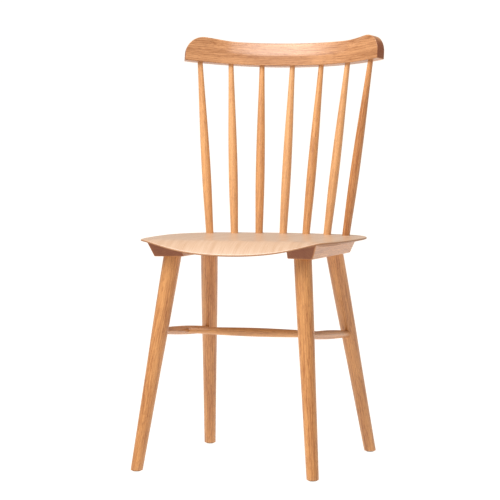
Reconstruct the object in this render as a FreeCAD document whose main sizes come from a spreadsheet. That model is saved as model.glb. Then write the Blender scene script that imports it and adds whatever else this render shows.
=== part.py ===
"""Spindle-back dining chair, built the way a joiner builds it.

Four splayed, tapered legs are tenoned into two bearer blocks. The bearers carry a moulded plywood
seat whose front edge rolls down. Seven turned spindles pass through the back of the seat into a
curved batten under it, and carry a bent crest rail. Two side stretchers and a cross stretcher tie
the legs. Millimetres, +Z up, the front faces -Y, and the origin is on the floor below the middle.
"""
import FreeCAD
import Part
import Sketcher
import math
import os
from FreeCAD import Placement, Rotation, Vector

doc = FreeCAD.newDocument("dining_chair")
UP = Vector(0, 0, 1)
SIDES = {"left": -1, "right": 1}
ENDS = ("front", "rear")
SPARE = 20.0  # how far a cutting tool runs past what it cuts

# ---------------------------------------------------------------- driving dimensions
DIMENSIONS = {
    # seat: moulded plywood, flat with a rolled front and a thin undercut edge
    "seat_top": 454.0,
    "seat_thickness": 12.0,
    "seat_edge": 3.5,
    "seat_undercut": 14.0,
    "seat_half_width": 211.0,
    "seat_front": 198.7,
    "seat_back": 175.0,
    "roll_run": 57.7,
    "roll_drop": 26.0,
    "roll_inset": 19.5,
    # plan of the seat: how far each point lies in from the widest place, and back from the
    # front edge (the first five) or forward from the back edge (the rest)
    "plan_quarter_inset": 131.5,
    "plan_quarter_setback": 4.7,
    "plan_bow_inset": 61.5,
    "plan_bow_setback": 16.0,
    "plan_corner_inset": 22.5,
    "plan_corner_setback": 31.7,
    "plan_knuckle_inset": 14.5,
    "plan_knuckle_setback": 52.7,
    "plan_hip_inset": 4.0,
    "plan_hip_setback": 122.7,
    "plan_side_inset": 0.3,
    "plan_side_setback": 175.0,
    "plan_haunch_inset": 3.5,
    "plan_haunch_setback": 125.0,
    "plan_shoulder_inset": 29.5,
    "plan_shoulder_setback": 62.0,
    "plan_rump_inset": 53.5,
    "plan_rump_setback": 37.0,
    "plan_tail_inset": 131.5,
    "plan_tail_setback": 10.0,
    # legs: axis points on the floor and at the underside of the bearers
    "foot_front_x": 182.1,
    "foot_front_y": -214.9,
    "foot_rear_x": 178.4,
    "foot_rear_y": 187.9,
    "knee_front_x": 135.9,
    "knee_front_y": -136.5,
    "knee_rear_x": 135.7,
    "knee_rear_y": 70.7,
    "leg_foot_dia": 24.0,
    "leg_top_dia": 35.4,
    "leg_overrun": 15.0,
    "leg_tenon_dia": 22.0,
    "leg_tenon_length": 17.0,
    "foot_chamfer": 1.2,
    # bearers: blocks under the seat, undercut on the front and on the outer side
    "bearer_bottom": 420.3,
    "bearer_front_outer_margin": 28.6,
    "bearer_front_inner_margin": 27.9,
    "bearer_front_margin": 28.3,
    "bearer_front_skew": 15.8,
    "bearer_rear_outer_margin": 22.8,
    "bearer_rear_inner_margin": 23.7,
    "bearer_rear_margin": 19.8,
    "bearer_side_slope": 0.385,
    "bearer_front_slope": 0.404,
    # stretchers
    "side_stretcher_front_height": 273.0,
    "side_stretcher_rear_height": 251.6,
    "side_stretcher_end_dia": 15.0,
    "side_stretcher_middle_dia": 18.2,
    "cross_stretcher_end_dia": 12.6,
    "cross_stretcher_middle_dia": 18.0,
    "side_stretcher_tenon": 15.0,
    "cross_stretcher_tenon": 10.0,
    "side_stretcher_stop": 2.0,
    "cross_stretcher_overrun": 1.0,
    # spindles: feet on an arc in the seat, heads on an arc in the crest rail
    "spindle_seat_radius": 300.0,
    "spindle_seat_step": 9.9,
    "spindle_seat_back": 147.4,
    "spindle_rail_step": 11.0,
    "spindle_foot_dia": 15.7,
    "spindle_belly_dia": 19.0,
    "spindle_neck_dia": 17.0,
    "spindle_head_dia": 10.8,
    "spindle_batten_depth": 10.0,
    "spindle_belly_rise": 116.0,
    "spindle_neck_rise": 212.0,
    "spindle_tenon_length": 18.0,
    # crest rail: bent in an arc, tilted back, with raised ends and a scooped upper face
    "rail_radius": 343.0,
    "rail_thickness": 21.8,
    "rail_half_angle": 38.2,
    "rail_tilt": 9.8,
    "rail_back": 207.7,
    "rail_bottom": 803.0,
    "rail_middle_height": 47.7,
    "rail_ear_height": 51.3,
    "rail_ear_start": 128.0,
    "rail_ear_top": 177.0,
    "rail_corner_radius": 38.0,
    "rail_scoop_height": 25.0,
    "rail_scoop_depth": 9.0,
    "rail_scoop_half_angle": 26.0,
    # curved batten under the back of the seat
    "batten_thickness": 14.0,
    "batten_inner_margin": 18.0,
    "batten_outer_margin": 12.0,
    "batten_end_margin": 9.4,
    "batten_gap": 1.0,
    # glides and screws
    "glide_height": 1.6,
    "glide_dia": 17.0,
    "glide_pin_dia": 2.4,
    "glide_pin_length": 16.0,
    "screw_head_dia": 8.4,
    "screw_head_height": 3.0,
    "screw_shank_dia": 4.0,
    "screw_tip_depth": 5.0,
    "screw_recess": 1.5,
    "bearer_screw_margin": 51.0,
    "batten_screw_step": 4.95,
    # fits
    "glue_gap": 0.1,
    "socket_end_gap": 0.6,
}

sheet = doc.addObject("Spreadsheet::Sheet", "dims")
for row, (alias, size) in enumerate(DIMENSIONS.items(), start=1):
    sheet.set(f"A{row}", alias)
    sheet.set(f"B{row}", str(size))
    sheet.setAlias(f"B{row}", alias)
doc.recompute()


def dim(alias):
    """Number held by one cell of the sheet."""
    return float(sheet.get(alias))


def bind(thing, prop, formula):
    """Bind one property to a formula written with the sheet's aliases."""
    thing.setExpression(prop, formula)


def number(formula):
    """Value of a formula written with the sheet's aliases."""
    result = sheet.evalExpression(formula)
    return float(getattr(result, "Value", result))


def along(start, end):
    """Placement that puts a piece's own Z axis on the line from start to end."""
    return Placement(start, Rotation(UP, end - start))


def origin_plane(body, role):
    return [feature for feature in body.Origin.OriginFeatures if feature.Role == role][0]


def new_sketch(body, name, role, lift=None):
    """Sketch on one of the body's origin planes, lifted along its normal by a formula."""
    sketch = body.newObject("Sketcher::SketchObject", name)
    sketch.AttachmentSupport = (origin_plane(body, role), [""])
    sketch.MapMode = "FlatFace"
    if lift:
        bind(sketch, "AttachmentOffset.Base.z", lift)
    return sketch


def hide(*things):
    for thing in things:
        thing.Visibility = False


# ---------------------------------------------------------------- sketch helpers
ORIGIN = (-1, 1)
H_AXIS = -1
V_AXIS = -2


class Outline:
    """Closed chain of lines and arcs in a sketch, with corners bound to formulas."""

    def __init__(self, sketch):
        self.sketch = sketch
        self.ends = []

    def add(self, curve, start):
        """Add one edge and note which of its ends lies at start."""
        edge = self.sketch.addGeometry(curve, False)
        first = self.sketch.getPoint(edge, 1)
        near = (Vector(first.x, first.y, 0) - start).Length < 1e-6
        self.ends.append((edge, 1 if near else 2, 2 if near else 1))
        return edge

    def close(self):
        """Join each edge's far end to the next edge's near end."""
        for this, following in zip(self.ends, self.ends[1:] + self.ends[:1]):
            self.constrain("Coincident", this[0], this[2], following[0], following[1])

    def near(self, index):
        """The edge at an index and the number of its near end."""
        edge, near, _ = self.ends[index]
        return edge, near

    def constrain(self, kind, *values):
        return self.sketch.addConstraint(Sketcher.Constraint(kind, *values))

    def size(self, name, formula, kind, *places):
        """Constraint whose value a formula gives."""
        index = self.constrain(kind, *places, number(formula))
        self.sketch.renameConstraint(index, name)
        bind(self.sketch, f"Constraints.{name}", formula)

    def pin(self, name, point, x_formula, y_formula):
        """Hold one point at the place that two formulas give; None puts it on that axis."""
        for kind, axis, formula in (("DistanceX", V_AXIS, x_formula), ("DistanceY", H_AXIS, y_formula)):
            if formula is None:
                self.constrain("PointOnObject", *point, axis)
            else:
                self.size(f"{name}_{kind[-1]}", formula, kind, *ORIGIN, *point)


def polygon(sketch, corners):
    """Closed straight-sided outline; corners are pairs of formulas."""
    points = [Vector(number(x or "0"), number(y or "0"), 0) for x, y in corners]
    outline = Outline(sketch)
    for here, there in zip(points, points[1:] + points[:1]):
        outline.add(Part.LineSegment(here, there), here)
    outline.close()
    for index, (x, y) in enumerate(corners):
        outline.pin(f"corner{index}", outline.near(index), x, y)


def flat_arc(start, end, radius):
    """Flat arc from start to end that bows towards +X."""
    chord = end - start
    middle = (start + end) * 0.5
    outward = Vector(chord.y, -chord.x, 0).normalize()
    rise = radius - math.sqrt(radius ** 2 - (chord.Length / 2) ** 2)
    return Part.Arc(start, middle + outward * rise, end)


def level_radius(start, end):
    """Radius of the arc from start to end whose centre is level with one of them."""
    step = end - start
    return (step.x ** 2 + step.y ** 2) / (2 * abs(step.x))


def turned_body(label, stations, bows):
    """Body turned about its own Z axis.

    stations: (height, radius) formulas from the bottom end up, heights from the bottom end.
    bows: for the edge that follows a station, the index of the station that its arc is level
    with; an edge that isn't named is straight.
    """
    body = doc.addObject("PartDesign::Body", label)
    sketch = new_sketch(body, f"{label}_profile", "XZ_Plane")
    outline = Outline(sketch)
    points = [Vector(number(radius), number(height or "0"), 0) for height, radius in stations]
    foot = Vector(0, points[0].y, 0)
    head = Vector(0, points[-1].y, 0)
    outline.add(Part.LineSegment(foot, points[0]), foot)
    for index, (here, there) in enumerate(zip(points, points[1:])):
        if index in bows:
            outline.add(flat_arc(here, there, level_radius(here, there)), here)
        else:
            outline.add(Part.LineSegment(here, there), here)
    outline.add(Part.LineSegment(points[-1], head), points[-1])
    outline.add(Part.LineSegment(head, foot), head)
    outline.close()
    outline.pin("foot", outline.near(0), None, None)
    outline.pin("head", outline.near(-1), None, stations[-1][0])
    for index, (height, radius) in enumerate(stations):
        outline.pin(f"station{index}", outline.near(index + 1), radius, height)
    for index, level in bows.items():
        edge, near, far = outline.ends[index + 1]
        outline.constrain("Horizontal", edge, 3, edge, near if level == index else far)
    turning = body.newObject("PartDesign::Revolution", f"{label}_turning")
    turning.Profile = sketch
    turning.ReferenceAxis = (sketch, ["V_Axis"])
    turning.Angle = 360
    hide(sketch)
    return body


def rod(name, start, end, radius, length):
    """Cylinder from start towards end, with formulas for its radius and its length."""
    cylinder = doc.addObject("Part::Cylinder", name)
    bind(cylinder, "Radius", radius)
    bind(cylinder, "Height", length)
    cylinder.Placement = along(start, end)
    hide(cylinder)
    return cylinder


def cut(label, base, tools):
    """The base less every tool."""
    tool = tools[0]
    if len(tools) > 1:
        tool = doc.addObject("Part::MultiFuse", f"{label}_tools")
        tool.Shapes = tools
    result = doc.addObject("Part::Cut", label)
    result.Base = base
    result.Tool = tool
    hide(base, tool)
    return result


def length_property(thing, name, value):
    """Length worked out from the sheet, kept on the piece for its formulas."""
    thing.addProperty("App::PropertyLength", name, "Size")
    setattr(thing, name, value)
    return f"{thing.Name}.{name}"


# ---------------------------------------------------------------- places worked out once
def floor_point(end, side):
    return Vector(side * dim(f"foot_{end}_x"), dim(f"foot_{end}_y"), 0)


def knee_point(end, side):
    return Vector(side * dim(f"knee_{end}_x"), dim(f"knee_{end}_y"), dim("bearer_bottom"))


def leg_point(end, side, height):
    """Point on a leg's axis at a height above the floor."""
    share = height / dim("bearer_bottom")
    return floor_point(end, side) + (knee_point(end, side) - floor_point(end, side)) * share


def stretcher_ends(side):
    return [leg_point(end, side, dim(f"side_stretcher_{end}_height")) for end in ENDS]


TILT = math.radians(dim("rail_tilt"))
RAIL_PLACE = Placement(
    Vector(0, dim("rail_back") - dim("rail_radius") * math.cos(TILT),
           dim("rail_bottom") + dim("rail_radius") * math.sin(TILT)),
    Rotation(Vector(1, 0, 0), -dim("rail_tilt")))
SPINDLES = range(-3, 4)


def spindle_ends(index):
    """Where a spindle's axis crosses the seat's top and the rail's underside."""
    low = math.radians(index * dim("spindle_seat_step"))
    high = math.radians(index * dim("spindle_rail_step"))
    reach = dim("spindle_seat_radius")
    centre = dim("spindle_seat_back") - reach
    foot = Vector(reach * math.sin(low), centre + reach * math.cos(low), dim("seat_top"))
    head = Vector(dim("rail_radius") * math.sin(high), dim("rail_radius") * math.cos(high), 0)
    return foot, RAIL_PLACE.multVec(head)


SPINDLE_ROOT = "(dims.seat_thickness + dims.spindle_batten_depth)"


def spindle_bottom(index):
    foot, head = spindle_ends(index)
    return foot - (head - foot).normalize() * number(SPINDLE_ROOT)


# ---------------------------------------------------------------- seat panel
PLAN_FROM_FRONT = ("quarter", "bow", "corner", "knuckle", "hip")
PLAN_FROM_BACK = ("side", "haunch", "shoulder", "rump", "tail")


def seat_outline():
    """Plan of the seat: bowed front, rounded corners, full sides and a bowed back."""
    wide = dim("seat_half_width")
    front = dim("seat_front")
    back = dim("seat_back")
    right = [Vector(0, -front, 0)]
    for name in PLAN_FROM_FRONT:
        right.append(Vector(wide - dim(f"plan_{name}_inset"), dim(f"plan_{name}_setback") - front, 0))
    for name in PLAN_FROM_BACK:
        right.append(Vector(wide - dim(f"plan_{name}_inset"), back - dim(f"plan_{name}_setback"), 0))
    right.append(Vector(0, back, 0))
    left = [Vector(-point.x, point.y, 0) for point in reversed(right[1:-1])]
    curve = Part.BSplineCurve()
    curve.interpolate(Points=right + left, PeriodicFlag=True)
    return Part.Wire([curve.toShape()])


def power_pole(power, column, degree):
    """Pole of t ** power, for t from -1 to 1, in a Bezier curve of a higher or equal degree."""
    total = 0
    for ahead in range(power + 1):
        ways = math.comb(column, ahead) * math.comb(degree - column, power - ahead)
        total += ways * (-1) ** (power - ahead)
    return total / math.comb(degree, power)


def rolled_patch():
    """Top of the rolled front, level where the roll starts.

    Its drop grows with the square of the run past the roll's start. It fades to either side
    by (1 - (x / reach) ** 6) ** 2, which is nearly full in the middle and dies at the reach.
    """
    degree = 12
    wide = dim("seat_half_width") + SPARE
    ratio = wide / (dim("seat_half_width") - dim("roll_inset"))
    start = dim("seat_front") - dim("roll_run")
    last_run = dim("roll_run") + SPARE
    patch = Part.BezierSurface()
    patch.increase(degree, 2)
    for column in range(degree + 1):
        x = wide * (2 * column / degree - 1)
        fade = 1 + power_pole(12, column, degree) * ratio ** 12
        fade -= 2 * power_pole(6, column, degree) * ratio ** 6
        for row, (run, square) in enumerate(((0, 0), (last_run / 2, 0), (last_run, last_run ** 2))):
            height = dim("seat_top") - dim("roll_drop") * fade * square / dim("roll_run") ** 2
            patch.setPole(column + 1, row + 1, Vector(x, -start - run, height))
    return patch.toShape()


def seat_solid():
    """The moulded panel, trimmed to its plan, with its lower edge bevelled all round."""
    thickness = dim("seat_thickness")
    start = dim("seat_front") - dim("roll_run")
    wide = dim("seat_half_width") + SPARE
    flat = Part.makeBox(2 * wide, dim("seat_back") + SPARE + start, thickness,
                        Vector(-wide, -start, dim("seat_top") - thickness))
    slab = flat.fuse(rolled_patch().extrude(Vector(0, 0, -thickness)))
    prism = Part.Face(seat_outline()).extrude(Vector(0, 0, dim("seat_top") + SPARE))
    panel = slab.common(prism).Solids[0]
    edges = []
    for face in panel.Faces:
        u_low, u_high, v_low, v_high = face.ParameterRange
        if face.normalAt((u_low + u_high) / 2, (v_low + v_high) / 2).z > -0.5:
            continue
        for edge in face.Edges:
            middle = edge.valueAt((edge.FirstParameter + edge.LastParameter) / 2)
            if abs(middle.y + start) > 0.01:
                edges.append(edge)
    return panel.makeChamfer(thickness - dim("seat_edge"), dim("seat_undercut"), edges)


def space_under_seat():
    """Everything inside the seat's plan and below its underside, less a glue line."""
    prism = Part.Face(seat_outline()).extrude(Vector(0, 0, dim("seat_top")))
    lowered = seat_solid()
    lowered.translate(Vector(0, 0, -dim("glue_gap")))
    return min(prism.cut(lowered).Solids, key=lambda solid: solid.CenterOfMass.z)


def seat_panel():
    blank = doc.addObject("Part::Feature", "seat_blank")
    blank.Shape = seat_solid()
    holes = []
    for index in SPINDLES:
        foot, head = spindle_ends(index)
        start = spindle_bottom(index)
        holes.append(rod(f"seat_hole_{index + 4}", start, head,
                         "dims.spindle_foot_dia / 2 + dims.glue_gap", f"{SPINDLE_ROOT} + {SPARE}"))
    for label, places, level in SCREWS:
        for count, place in enumerate(places(), start=1):
            holes.append(rod(f"{label}_pilot_{count}", place, place + UP, "dims.screw_shank_dia / 2",
                             f"{SCREW_TIP} + dims.socket_end_gap - {level}"))
    return cut("seat_panel", blank, holes)


# ---------------------------------------------------------------- screws
BEARER_SCREW_LEVEL = "(dims.bearer_bottom + dims.screw_recess)"
BATTEN_SCREW_LEVEL = "(dims.seat_top - dims.seat_thickness - dims.batten_thickness + dims.screw_recess)"
SCREW_TIP = "(dims.seat_top - dims.screw_tip_depth)"


def bearer_screw_places():
    """Where the bearers' screw heads sit: midway across, a margin in from each knee."""
    level = number(BEARER_SCREW_LEVEL)
    margin = dim("bearer_screw_margin")
    middle = (dim("knee_front_x") + dim("knee_rear_x")) / 2
    rows = (dim("knee_front_y") + margin, dim("knee_rear_y") - margin)
    return [Vector(side * middle, y, level) for side in SIDES.values() for y in rows]


def batten_screw_places():
    """Where the batten's screw heads sit: between the spindles, on the batten's middle line."""
    level = number(BATTEN_SCREW_LEVEL)
    radius = dim("spindle_seat_radius")
    reach = radius + (dim("batten_outer_margin") - dim("batten_inner_margin")) / 2
    centre = dim("spindle_seat_back") - radius
    places = []
    for half_steps in (-5, -1, 1, 5):
        turn = math.radians(half_steps * dim("spindle_seat_step") / 2)
        places.append(Vector(reach * math.sin(turn), centre + reach * math.cos(turn), level))
    return places


SCREWS = (
    ("bearer_screws", bearer_screw_places, BEARER_SCREW_LEVEL),
    ("batten_screws", batten_screw_places, BATTEN_SCREW_LEVEL),
)


def screw_group(label, places, level):
    """Identical countersunk wood screws, head down, kept as one group of separate solids."""
    pieces = []
    for count, place in enumerate(places(), start=1):
        head = doc.addObject("Part::Cone", f"{label}_head_{count}")
        bind(head, "Radius1", "dims.screw_head_dia / 2")
        bind(head, "Radius2", "dims.screw_shank_dia / 2")
        bind(head, "Height", "dims.screw_head_height")
        head.Placement = Placement(place, Rotation())
        shank = rod(f"{label}_shank_{count}", place, place + UP, "dims.screw_shank_dia / 2",
                    f"{SCREW_TIP} - {level}")
        screw = doc.addObject("Part::MultiFuse", f"{label}_screw_{count}")
        screw.Shapes = [head, shank]
        hide(head, shank, screw)
        pieces.append(screw)
    group = doc.addObject("Part::Compound", label)
    group.Links = pieces
    return group


def screw_holes(label, places, floor_height):
    """Clearance for each screw: a countersunk mouth from the floor height and a shank hole."""
    tools = []
    for count, place in enumerate(places, start=1):
        start = Vector(place.x, place.y, floor_height - SPARE)
        mouth = rod(f"{label}_mouth_{count}", start, start + UP, "dims.screw_head_dia / 2 + dims.glue_gap",
                    f"{SPARE} + dims.screw_recess")
        sink = doc.addObject("Part::Cone", f"{label}_sink_{count}")
        bind(sink, "Radius1", "dims.screw_head_dia / 2 + dims.glue_gap")
        bind(sink, "Radius2", "dims.screw_shank_dia / 2 + dims.glue_gap")
        bind(sink, "Height", "dims.screw_head_height")
        sink.Placement = Placement(place, Rotation())
        shank = rod(f"{label}_way_{count}", place, place + UP, "dims.screw_shank_dia / 2 + dims.glue_gap",
                    "dims.seat_top - dims.bearer_bottom")
        hide(sink)
        tools += [mouth, sink, shank]
    return tools


# ---------------------------------------------------------------- bearers
def bearer(side_name):
    """Block between the seat and two legs: a loft that widens upwards, trimmed by the seat."""
    side = SIDES[side_name]
    label = f"{side_name}_bearer"
    body = doc.addObject("PartDesign::Body", f"{label}_block")
    height = "(dims.seat_top - dims.bearer_bottom)"
    sections = []
    for level, rise in (("low", "0"), ("high", height)):
        sketch = new_sketch(body, f"{label}_{level}", "XY_Plane", f"dims.bearer_bottom + {rise}")
        spread = f"dims.bearer_side_slope * {rise}"
        front = f"dims.knee_front_y - dims.bearer_front_margin - dims.bearer_front_slope * {rise}"
        back = "dims.knee_rear_y + dims.bearer_rear_margin"
        polygon(sketch, [
            (f"{side} * (dims.knee_front_x + dims.bearer_front_outer_margin + {spread})", front),
            (f"{side} * (dims.knee_rear_x + dims.bearer_rear_outer_margin + {spread})", back),
            (f"{side} * (dims.knee_rear_x - dims.bearer_rear_inner_margin)", back),
            (f"{side} * (dims.knee_front_x - dims.bearer_front_inner_margin)",
             f"{front} + dims.bearer_front_skew"),
        ])
        sections.append(sketch)
    loft = body.newObject("PartDesign::AdditiveLoft", f"{label}_loft")
    loft.Profile = sections[0]
    loft.Sections = [sections[1]]
    loft.Ruled = True
    hide(*sections)
    bed = doc.addObject("Part::Feature", f"{label}_seat_bed")
    bed.Shape = space_under_seat()
    block = doc.addObject("Part::Common", f"{label}_blank")
    block.Base = body
    block.Tool = bed
    hide(body, bed)
    tools = []
    for end in ENDS:
        knee = knee_point(end, side)
        direction = (knee - floor_point(end, side)).normalize()
        tools.append(rod(f"{label}_{end}_socket", knee - direction * SPARE, knee,
                         "dims.leg_tenon_dia / 2 + dims.glue_gap",
                         f"{SPARE} + dims.leg_tenon_length + dims.socket_end_gap"))
    places = [place for place in bearer_screw_places() if place.x * side > 0]
    tools += screw_holes(label, places, dim("bearer_bottom"))
    return cut(label, block, tools)


# ---------------------------------------------------------------- legs and glides
def leg(side_name, end):
    """Tapered round leg: cut level at the floor and under the bearer, with a round tenon."""
    side = SIDES[side_name]
    label = f"{end}_{side_name}_leg"
    foot = floor_point(end, side)
    knee = knee_point(end, side)
    direction = (knee - foot).normalize()
    overrun = dim("leg_overrun")
    holder = doc.addObject("Part::Feature", f"{label}_axis")
    span = length_property(holder, "Span", (knee - foot).Length)
    taper = f"(dims.leg_top_dia - dims.leg_foot_dia) / 2 * dims.leg_overrun / ({span} / 1 mm)"
    blank = doc.addObject("Part::Cone", f"{label}_blank")
    bind(blank, "Radius1", f"dims.leg_foot_dia / 2 - {taper}")
    bind(blank, "Radius2", f"dims.leg_top_dia / 2 + {taper}")
    bind(blank, "Height", f"{span} / 1 mm + 2 * dims.leg_overrun")
    blank.Placement = along(foot - direction * overrun, knee)
    envelope = doc.addObject("Part::Cone", f"{label}_envelope")
    bind(envelope, "Radius1", "dims.leg_foot_dia / 2 - dims.foot_chamfer")
    bind(envelope, "Height", "dims.bearer_bottom - dims.glide_height")
    bind(envelope, "Radius2",
         "dims.leg_foot_dia / 2 - dims.foot_chamfer + dims.bearer_bottom - dims.glide_height")
    sole = leg_point(end, side, dim("glide_height"))
    envelope.Placement = Placement(sole, Rotation())
    shaped = doc.addObject("Part::Common", f"{label}_shaped")
    shaped.Base = blank
    shaped.Tool = envelope
    tenon = rod(f"{label}_tenon", knee - direction * SPARE, knee, "dims.leg_tenon_dia / 2",
                f"{SPARE} + dims.leg_tenon_length")
    joined = doc.addObject("Part::Fuse", f"{label}_joined")
    joined.Base = shaped
    joined.Tool = tenon
    hide(blank, envelope, shaped)
    start, finish = stretcher_ends(side)
    if end == "rear":
        start, finish = finish, start
    inward = (finish - start).normalize()
    socket = rod(f"{label}_socket",
                 start + inward * (dim("side_stretcher_stop") - dim("socket_end_gap")), finish,
                 "dims.side_stretcher_end_dia / 2 + dims.glue_gap", f"dims.leg_top_dia + {SPARE}")
    pin_hole = rod(f"{label}_pin_hole", sole, sole + UP, "dims.glide_pin_dia / 2",
                   "dims.glide_pin_length + dims.socket_end_gap")
    return cut(label, joined, [socket, pin_hole])


def glide(side_name, end):
    """Nail-on glide: a low domed disc under the foot with its pin in the leg."""
    side = SIDES[side_name]
    label = f"{end}_{side_name}_glide"
    body = turned_body(
        label,
        [(None, "dims.glide_dia / 2 - dims.glide_height / 2"),
         ("dims.glide_height / 2", "dims.glide_dia / 2"),
         ("dims.glide_height", "dims.glide_dia / 2"),
         ("dims.glide_height", "dims.glide_pin_dia / 2"),
         ("dims.glide_height + dims.glide_pin_length", "dims.glide_pin_dia / 2")],
        {})
    sole = leg_point(end, side, dim("glide_height"))
    body.Placement = Placement(Vector(sole.x, sole.y, 0), Rotation())
    return body


# ---------------------------------------------------------------- stretchers
def stretcher(label, start, finish, family, stop):
    """Turned rail, thickest in the middle, between two axis points of the pieces it joins."""
    axis = finish - start
    holder = doc.addObject("Part::Feature", f"{label}_axis")
    span = length_property(holder, "Span", axis.Length - 2 * stop)
    body = turned_body(
        label,
        [(None, f"dims.{family}_end_dia / 2"),
         (f"dims.{family}_tenon", f"dims.{family}_end_dia / 2"),
         (f"{span} / 2 mm", f"dims.{family}_middle_dia / 2"),
         (f"{span} / 1 mm - dims.{family}_tenon", f"dims.{family}_end_dia / 2"),
         (f"{span} / 1 mm", f"dims.{family}_end_dia / 2")],
        {1: 2, 2: 2})
    body.Placement = along(start + axis.normalize() * stop, finish)
    return body


def side_stretcher(side_name):
    """Side stretcher, drilled in its middle for the cross stretcher."""
    side = SIDES[side_name]
    start, finish = stretcher_ends(side)
    label = f"{side_name}_side_stretcher"
    body = stretcher(f"{label}_blank", start, finish, "side_stretcher", dim("side_stretcher_stop"))
    middle, opposite = cross_ends(side)
    reach = dim("cross_stretcher_overrun") + dim("socket_end_gap")
    inward = (opposite - middle).normalize()
    socket = rod(f"{label}_socket", middle - inward * reach, opposite,
                 "dims.cross_stretcher_end_dia / 2 + dims.glue_gap",
                 f"dims.side_stretcher_middle_dia + {SPARE}")
    return cut(label, body, [socket])


def cross_ends(side):
    """Middle points of the side stretchers, this side's first."""
    middles = []
    for each in (side, -side):
        start, finish = stretcher_ends(each)
        middles.append((start + finish) * 0.5)
    return middles


# ---------------------------------------------------------------- spindles
def spindle(index):
    """Turned spindle: fullest low down, then tapering to the crest rail."""
    foot, head = spindle_ends(index)
    label = f"spindle_{index + 4}"
    holder = doc.addObject("Part::Feature", f"{label}_axis")
    span = length_property(holder, "Span", (head - foot).Length)
    body = turned_body(
        label,
        [(None, "dims.spindle_foot_dia / 2"),
         (SPINDLE_ROOT, "dims.spindle_foot_dia / 2"),
         (f"{SPINDLE_ROOT} + dims.spindle_belly_rise", "dims.spindle_belly_dia / 2"),
         (f"{SPINDLE_ROOT} + dims.spindle_neck_rise", "dims.spindle_neck_dia / 2"),
         (f"{SPINDLE_ROOT} + {span} / 1 mm", "dims.spindle_head_dia / 2"),
         (f"{SPINDLE_ROOT} + {span} / 1 mm + dims.spindle_tenon_length", "dims.spindle_head_dia / 2")],
        {1: 2, 2: 2})
    body.Placement = along(spindle_bottom(index), head)
    return body


# ---------------------------------------------------------------- crest rail
def rail_band():
    """Arc-shaped band with radial ends, as high as the raised ends."""
    body = doc.addObject("PartDesign::Body", "rail_band")
    sketch = new_sketch(body, "rail_plan", "XY_Plane")
    turn = math.radians(dim("rail_half_angle"))
    inner = dim("rail_radius") - dim("rail_thickness") / 2
    outer = dim("rail_radius") + dim("rail_thickness") / 2

    def on_arc(radius, angle):
        return Vector(radius * math.sin(angle), radius * math.cos(angle), 0)

    corners = [on_arc(inner, -turn), on_arc(inner, turn), on_arc(outer, turn), on_arc(outer, -turn)]
    outline = Outline(sketch)
    front = outline.add(Part.Arc(corners[0], on_arc(inner, 0), corners[1]), corners[0])
    outline.add(Part.LineSegment(corners[1], corners[2]), corners[1])
    back = outline.add(Part.Arc(corners[2], on_arc(outer, 0), corners[3]), corners[2])
    outline.add(Part.LineSegment(corners[3], corners[0]), corners[3])
    outline.close()
    for edge, name, sign in ((front, "front", "-"), (back, "back", "+")):
        radius = f"(dims.rail_radius {sign} dims.rail_thickness / 2)"
        outline.constrain("Coincident", edge, 3, *ORIGIN)
        outline.size(name, radius, "Radius", edge)
        for end in (1, 2):
            side = 1 if sketch.getPoint(edge, end).x > 0 else -1
            outline.size(f"{name}_end{end}", f"{side} * {radius} * sin(dims.rail_half_angle)",
                         "DistanceX", *ORIGIN, edge, end)
    pad = body.newObject("PartDesign::Pad", "rail_pad")
    pad.Profile = sketch
    bind(pad, "Length", "dims.rail_ear_height")
    hide(sketch)
    return body


def rail_elevation():
    """Front view of the rail: level middle, and an easy rise of two arcs to each raised end."""
    body = doc.addObject("PartDesign::Body", "rail_elevation")
    sketch = new_sketch(body, "rail_front_view", "XZ_Plane")
    wide = "(dims.rail_radius + dims.rail_thickness)"
    edge_x = number(wide)
    low = dim("rail_middle_height")
    high = dim("rail_ear_height")
    start = dim("rail_ear_start")
    top = dim("rail_ear_top")
    half_run = (top - start) / 2
    half_rise = (high - low) / 2
    radius = (half_run ** 2 + half_rise ** 2) / (2 * half_rise)
    turn = math.asin(half_run / radius) / 2
    step_out = radius * math.sin(turn)
    step_up = radius * (1 - math.cos(turn))
    middle = ((start + top) / 2, (low + high) / 2)
    outline = Outline(sketch)

    def at(x, y):
        return Vector(x, y, 0)

    # one half from the foot of the right end to the middle; the other half mirrors it
    right = [at(edge_x, 0), at(edge_x, high), at(top, high), at(*middle), at(start, low)]
    bows = {2: at(top - step_out, high - step_up), 3: at(start + step_out, low + step_up)}
    left = [at(-point.x, point.y) for point in reversed(right)]
    for index, (here, there) in enumerate(zip(right, right[1:])):
        bow = bows.get(index)
        outline.add(Part.Arc(here, bow, there) if bow else Part.LineSegment(here, there), here)
    outline.add(Part.LineSegment(right[-1], left[0]), right[-1])
    for index, (here, there) in enumerate(zip(left, left[1:])):
        bow = bows.get(len(left) - 2 - index)
        curve = Part.LineSegment(here, there)
        if bow:
            curve = Part.Arc(here, at(-bow.x, bow.y), there)
        outline.add(curve, here)
    outline.add(Part.LineSegment(left[-1], right[0]), left[-1])
    outline.close()
    heights = (None, "dims.rail_ear_height", "dims.rail_ear_height",
               "(dims.rail_ear_height + dims.rail_middle_height) / 2", "dims.rail_middle_height")
    reaches = (wide, wide, "dims.rail_ear_top", "(dims.rail_ear_top + dims.rail_ear_start) / 2",
               "dims.rail_ear_start")
    for index, (x, y) in enumerate(zip(reaches, heights)):
        outline.pin(f"right{index}", outline.near(index), x, y)
        outline.pin(f"left{index}", outline.near(2 * len(right) - 1 - index), f"-{x}", y)
    for index, level in ((2, 0), (3, 1), (5, 0), (6, 1)):
        edge, near, far = outline.ends[index]
        outline.constrain("Vertical", edge, 3, edge, (near, far)[level])
    pad = body.newObject("PartDesign::Pad", "rail_elevation_pad")
    pad.Profile = sketch
    bind(pad, "Length", f"2 * {wide}")
    pad.Reversed = True
    hide(sketch)
    return body


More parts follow.
